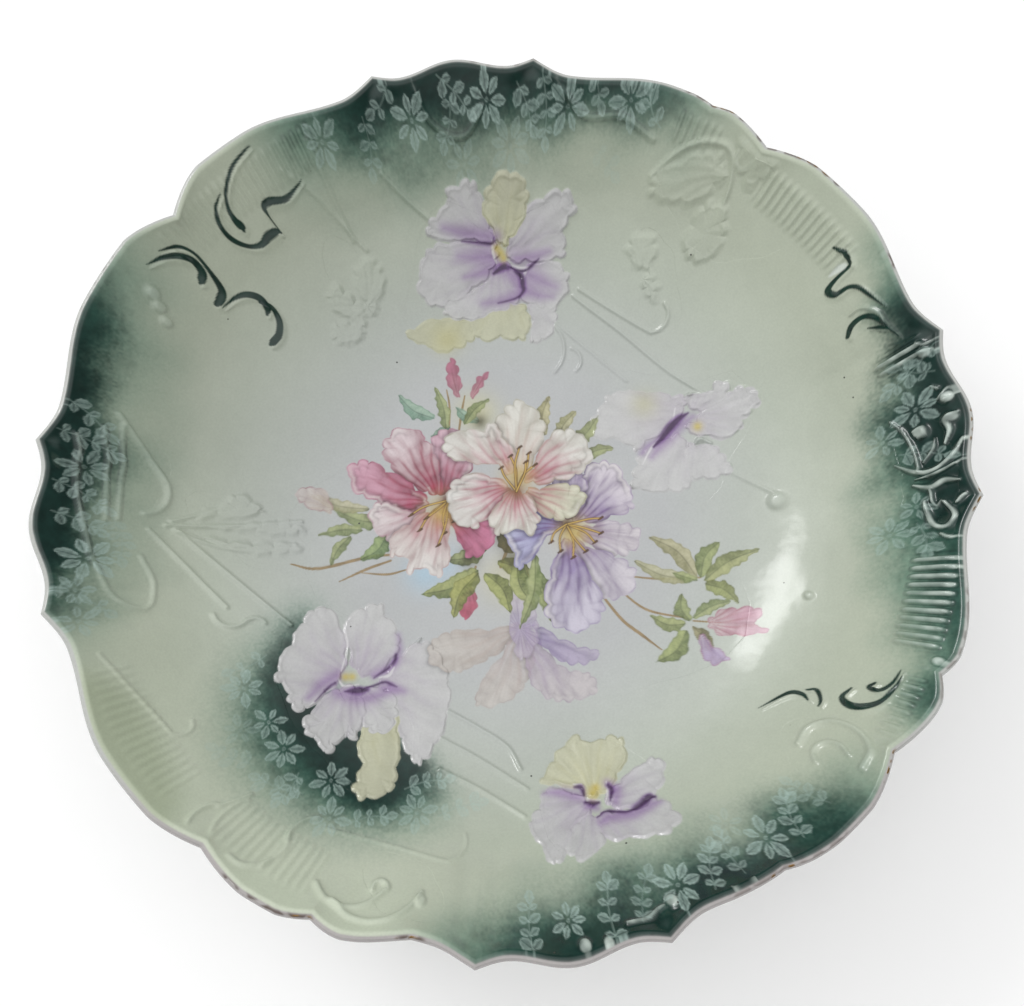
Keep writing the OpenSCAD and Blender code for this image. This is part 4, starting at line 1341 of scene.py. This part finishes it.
def closed_rows(name, rows, top=None, bottom=None):
    """A closed mesh from rings of points, ended by a centre point at each end, or joined end to end."""
    count, around = rows.shape[:2]
    ring = np.arange(around)
    after = np.roll(ring, -1)
    starts = np.arange(count if top is None else count - 1)[:, None] * around
    nexts = (starts + around) % (count * around)
    quads = np.stack([starts + ring, nexts + ring, nexts + after, starts + after], -1).reshape(-1, 4)
    points = rows.reshape(-1, 3)
    if top is None:
        return mesh_from(name, points, [quads])
    first, last = count * around, (count - 1) * around
    top_fan = np.stack([np.full(around, first), ring, after], -1)
    bottom_fan = np.stack([np.full(around, first + 1), last + after, last + ring], -1)
    return mesh_from(name, np.concatenate([points, [top], [bottom]]), [quads, top_fan, bottom_fan])


def mottling(rgb):
    """How strongly the airbrushed colour is mottled: fully in the dark greens, hardly in the pale ground."""
    return smooth(1.25 - 3.4 * rgb.mean(-1))


def colour_in(piece, rgb, alpha=None):
    """Stores one linear colour a vertex for the materials; any further vertices take the last one."""
    count = len(piece.data.vertices)
    rgba = np.ones((count, 4), np.float32)
    rgba[: len(rgb), :3] = rgb
    rgba[len(rgb) :, :3] = rgb[-1]
    rgba[: len(rgb), 3] = alpha if alpha is not None else mottling(rgb)
    layer = piece.data.color_attributes.new("paint", "FLOAT_COLOR", "POINT")
    layer.data.foreach_set("color", rgba.ravel())


def outline_of(node, directions):
    """The plan outline of a CAD patch: its centre, and how far it reaches in each direction from there."""
    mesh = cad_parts[node].data
    p = np.array([v.co[:2] for v in mesh.vertices]) * 1000
    edges = np.array([e.vertices[:] for e in mesh.edges])
    centre = (p.min(0) + p.max(0)) / 2
    a, d = p[edges[:, 0]] - centre, p[edges[:, 1]] - p[edges[:, 0]]
    reach = []
    for turn in directions:
        u = np.array([np.cos(turn), np.sin(turn)])
        cross = u[0] * d[:, 1] - u[1] * d[:, 0]
        cross[np.abs(cross) < 1e-9] = 1e-9
        far = (a[:, 0] * d[:, 1] - a[:, 1] * d[:, 0]) / cross
        where = (a[:, 0] * u[1] - a[:, 1] * u[0]) / cross
        hit = (where >= -0.001) & (where <= 1.001)
        reach.append(far[hit].max())
    return centre, np.array(reach)


# ---- Pieces

PATCHES = [
    "iris_back",
    "iris_right",
    "iris_front_left",
    "iris_front_right",
    "iris_left",
    "iris_rim",
    "bud_back_left",
    "bud_back_right",
    "scroll_left",
    "scroll_right",
    "scroll_front",
    "shell_front",
    "bouquet_transfer",
]
# Finer mesh of the body: points round it, rows outside FINE_R, and the radii where rows begin.
BODY_AROUND = 2560
BODY_ROWS = 300
CENTRE_R = 1.5
FINE_R = 40
GRID = 0.32
PATCH_DEPTH = 1.2
SEAM = 0.5
# Worn stretches of the lip: (first angle, last angle, strength); where gold is left: (first angle, last angle).
BROWN_SPANS = [
    (40, 66, 0.8),
    (236, 248, 0.9),
    (257, 261, 0.9),
    (28, 31, 0.9),
    (296, 312, 0.5),
    (84, 96, 0.4),
    (330, 345, 0.5),
    (150, 160, 0.3),
]
GOLD_SPANS = [(3, 8), (-6, -2), (43, 49), (58, 63), (244, 248), (257, 260), (300, 306), (318, 323)]


def wall_at(r):
    return FLOOR_T + (LIP_T - FLOOR_T) * np.maximum(0, (r - FLOOR_R) / (LIP_IN_R - FLOOR_R))


def lip_point(angle, share, lift=0.0):
    """Points round the half circle of the lip: share 0 is its inner side and 1 its outer side."""
    half = LIP_T / 2
    turn = WALL_SLOPE + np.pi / 2 - np.pi * share
    moved = shift(angle, np.full_like(angle, LIP_IN_R))
    out = LIP_IN_R + half * np.sin(WALL_SLOPE) + (half + lift) * np.cos(turn) + moved
    z = LIP_IN_Z - half * np.cos(WALL_SLOPE) + (half + lift) * np.sin(turn) + DIP_SHARE * moved
    where = np.radians(angle)
    return np.stack([out * np.cos(where), out * np.sin(where), z], -1)


def span_mask(angle, first, last, fade=1.0):
    here = np.mod(angle - first + 180, 360) - 180
    return smooth(here / fade) * smooth((last - first - here) / fade)


def lip_colour(angle, share):
    rgb = np.zeros(angle.shape + (3,)) + linear(LIP_WHITE)
    wear = ripple(np.radians(angle) * TIP_R, 6 * share, 3.0, 2)
    below = span_mask(angle, 215, 330, 15)[..., None] * 0.5
    rgb += below * (linear(LIP_GREY) - rgb)
    for first, last, strength in BROWN_SPANS:
        broken = smooth((wear + 0.25) * 2.2) * smooth(1 - np.abs(share - 0.42) / 0.18)
        mask = (strength * span_mask(angle, first, last) * broken)[..., None]
        rgb += mask * (linear(LIP_BROWN) - rgb)
    return rgb


class Patch:
    """A fine closed piece over the plan outline of a CAD patch."""

    def __init__(self, node):
        self.node = node
        self.turns = np.linspace(-np.pi, np.pi, 361)
        self.centre, self.reach = outline_of(node, self.turns)
        size = self.reach.max()
        around = int(2 * np.pi * size * 0.8 / GRID)
        turn = np.linspace(-np.pi, np.pi, around, endpoint=False)
        self.far = np.interp(turn, self.turns, self.reach)
        self.shares = np.linspace(GRID / size, 1, int(size / GRID))
        self.direction = np.stack([np.cos(turn), np.sin(turn)])
        self.x, self.y = self.at(self.shares)

    def at(self, shares):
        out = np.asarray(shares)[:, None] * self.far
        return self.centre[0] + out * self.direction[0], self.centre[1] + out * self.direction[1]

    def depth(self, x, y):
        """How far points are inside the outline, about."""
        dx, dy = x - self.centre[0], y - self.centre[1]
        return np.interp(np.arctan2(dy, dx), self.turns, self.reach) - np.hypot(dx, dy)

    def build(self, relief, rgb):
        edge = 0.03 * (1 - smooth(self.depth(self.x, self.y) / SEAM))
        top = over_plan(self.x, self.y, relief - edge)
        under_x, under_y = self.at([1, 0.84, 0.68, 0.52, 0.36, 0.2, 0.06])
        under = over_plan(under_x, under_y, -PATCH_DEPTH)
        middle = np.array([self.centre[0]]), np.array([self.centre[1]])
        crown = top[0].mean(0)
        piece = closed_rows(
            self.node + "_glazed", np.concatenate([top, under]), crown, over_plan(*middle, -PATCH_DEPTH)[0]
        )
        colour_in(piece, np.concatenate([rgb.reshape(-1, 3), np.tile(rgb[0].mean(0), (under_x.size + 1, 1))]))
        return piece


def sink_under(patch, x, y):
    """How far a surface dips below a patch that lies over it."""
    return 0.5 * smooth(patch.depth(x, y) / SEAM - 1)


patches = [Patch(node) for node in PATCHES]

inner_r = np.concatenate([np.arange(CENTRE_R, FINE_R - 1, 2.0), np.linspace(FINE_R, LIP_IN_R, BODY_ROWS)])
turns = np.arange(BODY_AROUND) * 360 / BODY_AROUND
body_angle, body_r = np.meshgrid(turns, inner_r)
base = inner_point(body_angle, body_r, 0)
body_x, body_y = base[..., 0], base[..., 1]

all_x = np.concatenate([body_x.ravel()] + [p.x.ravel() for p in patches])
all_y = np.concatenate([body_y.ravel()] + [p.y.ravel() for p in patches])
glaze_points = Points(all_x, all_y)
all_relief, all_ridges = shape_relief(glaze_points)
all_rgb = paint_all(glaze_points, all_ridges)
ends = np.cumsum([body_x.size] + [p.x.size for p in patches])

body_relief = all_relief[: ends[0]].reshape(body_x.shape)
for patch in patches:
    body_relief = body_relief - sink_under(patch, body_x, body_y)
body_relief *= smooth((LIP_IN_R - body_r) / 3)
inside = inner_point(body_angle, body_r, body_relief)
lip_share = np.linspace(0, 1, 13)[1:-1]
lip_angle, lip_where = np.meshgrid(turns, lip_share)
lip = lip_point(lip_angle, lip_where)
outer_r = np.concatenate([np.linspace(LIP_IN_R, FINE_R, 40), [30, 20, 10, CENTRE_R]])
outer_angle, outer_rr = np.meshgrid(turns, outer_r)
outside = inner_point(outer_angle, outer_rr, -wall_at(outer_rr))
body_piece = closed_rows(
    "bowl_body_glazed",
    np.concatenate([inside, lip, outside]),
    (0, 0, FLOOR_Z + body_relief[0].mean()),
    (0, 0, FOOT_H),
)
white = np.tile(linear(OUTSIDE_WHITE), (outer_rr.size, 1))
lip_rgb = lip_colour(lip_angle, lip_where)
over_edge = all_rgb[ends[0] - BODY_AROUND : ends[0]] * smooth((0.34 - lip_where) / 0.12)[..., None]
lip_rgb = over_edge + lip_rgb * smooth((lip_where - 0.22) / 0.12)[..., None]
colour_in(body_piece, np.concatenate([all_rgb[: ends[0]], lip_rgb.reshape(-1, 3), white]))

patch_pieces = []
for k, patch in enumerate(patches):
    part = slice(ends[k], ends[k + 1])
    shape = patch.x.shape
    relief = all_relief[part].reshape(shape)
    for other in patches[:k]:
        relief = relief - sink_under(other, patch.x, patch.y)
    patch_pieces.append(patch.build(relief, all_rgb[part].reshape(shape + (3,))))

gilt_share = np.array([0.36, 0.40, 0.45, 0.50, 0.54, 0.54, 0.50, 0.45, 0.40, 0.36])
gilt_lift = np.array([-0.05, 0.05, 0.06, 0.05, -0.05, -0.3, -0.3, -0.3, -0.3, -0.3])
gilt_angle, gilt_where = np.meshgrid(turns, gilt_share)
gilt_rows = lip_point(gilt_angle, gilt_where, gilt_lift[:, None])
gilt_piece = closed_rows("gilt_edge_worn", gilt_rows)
gold = np.zeros(gilt_angle.shape)
for first, last in GOLD_SPANS:
    worn = smooth(0.3 + 1.4 * ripple(np.radians(gilt_angle) * TIP_R, 5 * gilt_where, 2.4, 9))
    gold = np.maximum(gold, span_mask(gilt_angle, first, last) * worn)
gilt_rgb = lip_colour(gilt_angle, gilt_where)
gilt_rgb += gold[..., None] * (linear(WORN_GOLD) - gilt_rgb)
colour_in(gilt_piece, gilt_rgb.reshape(-1, 3), gold.ravel())


# ---- Materials


def glaze(name, roughness=0.1, wave=0.35, metal=False):
    """Painted porcelain under a clear glaze; the colour comes from each vertex, the fine grain from noise."""
    material = bpy.data.materials.new(name)
    material.use_nodes = True
    nodes, links = material.node_tree.nodes, material.node_tree.links
    shader = nodes["Principled BSDF"]
    place = nodes.new("ShaderNodeTexCoord")
    paint = nodes.new("ShaderNodeAttribute")
    paint.attribute_name = "paint"

    def noise(scale, detail):
        node = nodes.new("ShaderNodeTexNoise")
        node.inputs["Scale"].default_value = scale
        node.inputs["Detail"].default_value = detail
        links.new(place.outputs["Object"], node.inputs["Vector"])
        return node

    def ramp(source, low, high, from_low=0.3, from_high=0.7):
        node = nodes.new("ShaderNodeMapRange")
        node.inputs["From Min"].default_value = from_low
        node.inputs["From Max"].default_value = from_high
        node.inputs["To Min"].default_value = low
        node.inputs["To Max"].default_value = high
        links.new(source, node.inputs["Value"])
        return node.outputs["Result"]

    cloud, sand = noise(260, 6), noise(1500, 2)
    tone = nodes.new("ShaderNodeMix")
    tone.data_type = "RGBA"
    tone.blend_type = "MULTIPLY"
    tone.inputs["Factor"].default_value = 1
    links.new(paint.outputs["Color"], tone.inputs["A"])
    mottle = nodes.new("ShaderNodeMix")
    links.new(ramp(cloud.outputs["Fac"], 0.985, 1.015), mottle.inputs["A"])
    links.new(ramp(cloud.outputs["Fac"], 0.72, 1.3), mottle.inputs["B"])
    if metal:
        mottle.inputs["Factor"].default_value = 0
    else:
        links.new(paint.outputs["Alpha"], mottle.inputs["Factor"])
    both = nodes.new("ShaderNodeMath")
    both.operation = "MULTIPLY"
    links.new(mottle.outputs["Result"], both.inputs[0])
    links.new(ramp(sand.outputs["Fac"], 0.96, 1.03), both.inputs[1])
    links.new(both.outputs["Value"], tone.inputs["B"])
    pits = nodes.new("ShaderNodeTexVoronoi")
    pits.inputs["Scale"].default_value = 62
    links.new(place.outputs["Object"], pits.inputs["Vector"])
    speck = nodes.new("ShaderNodeMix")
    speck.data_type = "RGBA"
    speck.inputs["A"].default_value = (0.05, 0.05, 0.045, 1)
    links.new(ramp(pits.outputs["Distance"], 0, 1, 0.014, 0.024), speck.inputs["Factor"])
    links.new(tone.outputs["Result"], speck.inputs["B"])
    links.new(speck.outputs["Result"], shader.inputs["Base Color"])
    links.new(ramp(cloud.outputs["Fac"], roughness * 0.8, roughness * 1.3), shader.inputs["Roughness"])
    swell = noise(95, 2)
    bump = nodes.new("ShaderNodeBump")
    bump.inputs["Strength"].default_value = wave
    bump.inputs["Distance"].default_value = 0.0006
    links.new(swell.outputs["Fac"], bump.inputs["Height"])
    fine = nodes.new("ShaderNodeBump")
    fine.inputs["Strength"].default_value = 0.25
    fine.inputs["Distance"].default_value = 0.00003
    links.new(sand.outputs["Fac"], fine.inputs["Height"])
    links.new(bump.outputs["Normal"], fine.inputs["Normal"])
    links.new(fine.outputs["Normal"], shader.inputs["Normal"])
    if metal:
        links.new(paint.outputs["Alpha"], shader.inputs["Metallic"])
    return material


def bare_porcelain(name):
    """Unglazed biscuit on the foot: matt, slightly grey, with a sandy grain."""
    material = bpy.data.materials.new(name)
    material.use_nodes = True
    nodes, links = material.node_tree.nodes, material.node_tree.links
    shader = nodes["Principled BSDF"]
    place = nodes.new("ShaderNodeTexCoord")
    sand = nodes.new("ShaderNodeTexNoise")
    sand.inputs["Scale"].default_value = 900
    sand.inputs["Detail"].default_value = 5
    links.new(place.outputs["Object"], sand.inputs["Vector"])
    tone = nodes.new("ShaderNodeValToRGB")
    tone.color_ramp.elements[0].color = (0.52, 0.50, 0.46, 1)
    tone.color_ramp.elements[1].color = (0.72, 0.71, 0.68, 1)
    links.new(sand.outputs["Fac"], tone.inputs["Fac"])
    links.new(tone.outputs["Color"], shader.inputs["Base Color"])
    rough = nodes.new("ShaderNodeMapRange")
    rough.inputs["To Min"].default_value = 0.45
    rough.inputs["To Max"].default_value = 0.75
    links.new(sand.outputs["Fac"], rough.inputs["Value"])
    links.new(rough.outputs["Result"], shader.inputs["Roughness"])
    bump = nodes.new("ShaderNodeBump")
    bump.inputs["Strength"].default_value = 0.4
    bump.inputs["Distance"].default_value = 0.0001
    links.new(sand.outputs["Fac"], bump.inputs["Height"])
    links.new(bump.outputs["Normal"], shader.inputs["Normal"])
    return material


glazed = glaze("glazed_porcelain")
gilded = glaze("worn_gilding", 0.22, 0.2, metal=True)
biscuit = bare_porcelain("bare_porcelain")

body_piece.data.materials.append(glazed)
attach(body_piece, "root")
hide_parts("bowl_body")

for patch, piece in zip(patches, patch_pieces):
    piece.data.materials.append(glazed)
    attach(piece, "root")
    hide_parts(patch.node)

gilt_piece.data.materials.append(gilded)
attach(gilt_piece, "root")
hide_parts("gilt_edge")

for material_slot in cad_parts["foot_ring"].material_slots:
    material_slot.material = biscuit


# ---- Floor, light and camera


# The camera, fitted to the rim and creases: its lean from straight above, its distance in tip radii,
# its small turns in degrees, and its lens in millimetres.
CAMERA_LEAN = 18.015
CAMERA_DISTANCE = 2.723
CAMERA_PAN = 0.213
CAMERA_TILT = -1.626
CAMERA_LENS = 45.61


def add_floor():
    bpy.ops.mesh.primitive_plane_add(size=12, location=(0, 0, 0))
    floor = bpy.context.object
    floor.name = "floor"
    material = bpy.data.materials.new("floor")
    material.use_nodes = True
    shader = material.node_tree.nodes["Principled BSDF"]
    shader.inputs["Base Color"].default_value = (0.93, 0.93, 0.93, 1)
    shader.inputs["Roughness"].default_value = 0.9
    floor.data.materials.append(material)


def add_camera():
    """Above and in front of the bowl, with the small turns that centre it in the picture."""
    lean, distance = np.radians(CAMERA_LEAN), CAMERA_DISTANCE * TIP_R
    pan, tilt = np.radians(CAMERA_PAN), np.radians(CAMERA_TILT)
    place = np.array([0, -np.sin(lean), np.cos(lean)]) * distance + np.array([0, 0, RIM_H])
    ahead = np.array([0, np.sin(lean), -np.cos(lean)])
    right = np.array([1.0, 0, 0])
    up = np.cross(right, ahead)
    ahead, up = ahead * np.cos(tilt) + up * np.sin(tilt), up * np.cos(tilt) - ahead * np.sin(tilt)
    ahead, right = ahead * np.cos(pan) + right * np.sin(pan), right * np.cos(pan) - ahead * np.sin(pan)
    data = bpy.data.cameras.new("camera")
    data.lens = CAMERA_LENS
    data.sensor_width = 36
    data.sensor_fit = "HORIZONTAL"
    camera = bpy.data.objects.new("camera", data)
    turn = Matrix([list(right), list(up), list(-ahead)]).transposed()
    camera.matrix_world = Matrix.Translation(Vector(place / 1000)) @ turn.to_4x4()
    bpy.context.scene.collection.objects.link(camera)
    bpy.context.scene.camera = camera


def add_studio(panes):
    """A pale studio: dim near the floor, brighter overhead, and soft oval panes of light."""
    world = bpy.data.worlds.new("studio")
    world.use_nodes = True
    nodes, links = world.node_tree.nodes, world.node_tree.links
    place = nodes.new("ShaderNodeTexCoord")

    def maths(operation, first, second):
        node = nodes.new("ShaderNodeMath")
        node.operation = operation
        for socket, value in zip(node.inputs, (first, second)):
            if isinstance(value, float):
                socket.default_value = value
            else:
                links.new(value, socket)
        return node.outputs["Value"]

    def share_of(direction):
        """How far the view turns towards a direction."""
        dot = nodes.new("ShaderNodeVectorMath")
        dot.operation = "DOT_PRODUCT"
        dot.inputs[1].default_value = direction
        links.new(place.outputs["Generated"], dot.inputs[0])
        return dot.outputs["Value"]

    def eased(value, low, high, weak, strong):
        ease = nodes.new("ShaderNodeMapRange")
        ease.interpolation_type = "SMOOTHSTEP"
        ease.inputs["From Min"].default_value = low
        ease.inputs["From Max"].default_value = high
        ease.inputs["To Min"].default_value = weak
        ease.inputs["To Max"].default_value = strong
        links.new(value, ease.inputs["Value"])
        return ease.outputs["Result"]

    def pane(azimuth, elevation, wide, tall, strength):
        """A soft oval of light; its sides are angles from its middle, in degrees."""
        a, e = np.radians(azimuth), np.radians(elevation)
        middle = (np.cos(a) * np.cos(e), np.sin(a) * np.cos(e), np.sin(e))
        sideways = (-np.sin(a), np.cos(a), 0)
        upward = (-np.cos(a) * np.sin(e), -np.sin(a) * np.sin(e), np.cos(e))
        far_side = maths("POWER", maths("DIVIDE", share_of(sideways), float(np.sin(np.radians(wide)))), 2.0)
        far_up = maths("POWER", maths("DIVIDE", share_of(upward), float(np.sin(np.radians(tall)))), 2.0)
        inside = eased(maths("ADD", far_side, far_up), 1.0, 0.0, 0.0, strength)
        return maths("MULTIPLY", inside, maths("GREATER_THAN", share_of(middle), 0.0))

    light = eased(share_of(SKY_TURN), 0.1, 0.8, SKY_LOW, SKY_HIGH)
    for one in panes:
        light = maths("ADD", light, pane(*one))
    nodes["Background"].inputs["Color"].default_value = (1, 1, 1, 1)
    links.new(light, nodes["Background"].inputs["Strength"])
    bpy.context.scene.world = world


SKY_LOW = 0.14
SKY_HIGH = 1.24
SKY_TURN = (-0.10, 0.03, 0.99)
# Azimuth, elevation, half width, half height and strength of each pane.
PANES = [
    (142, 37, 15, 8.5, 8.0),
    (144, 38, 32, 20, 1.1),
]
bpy.context.scene.view_settings.view_transform = "Standard"
add_studio(PANES)
add_floor()
add_camera()
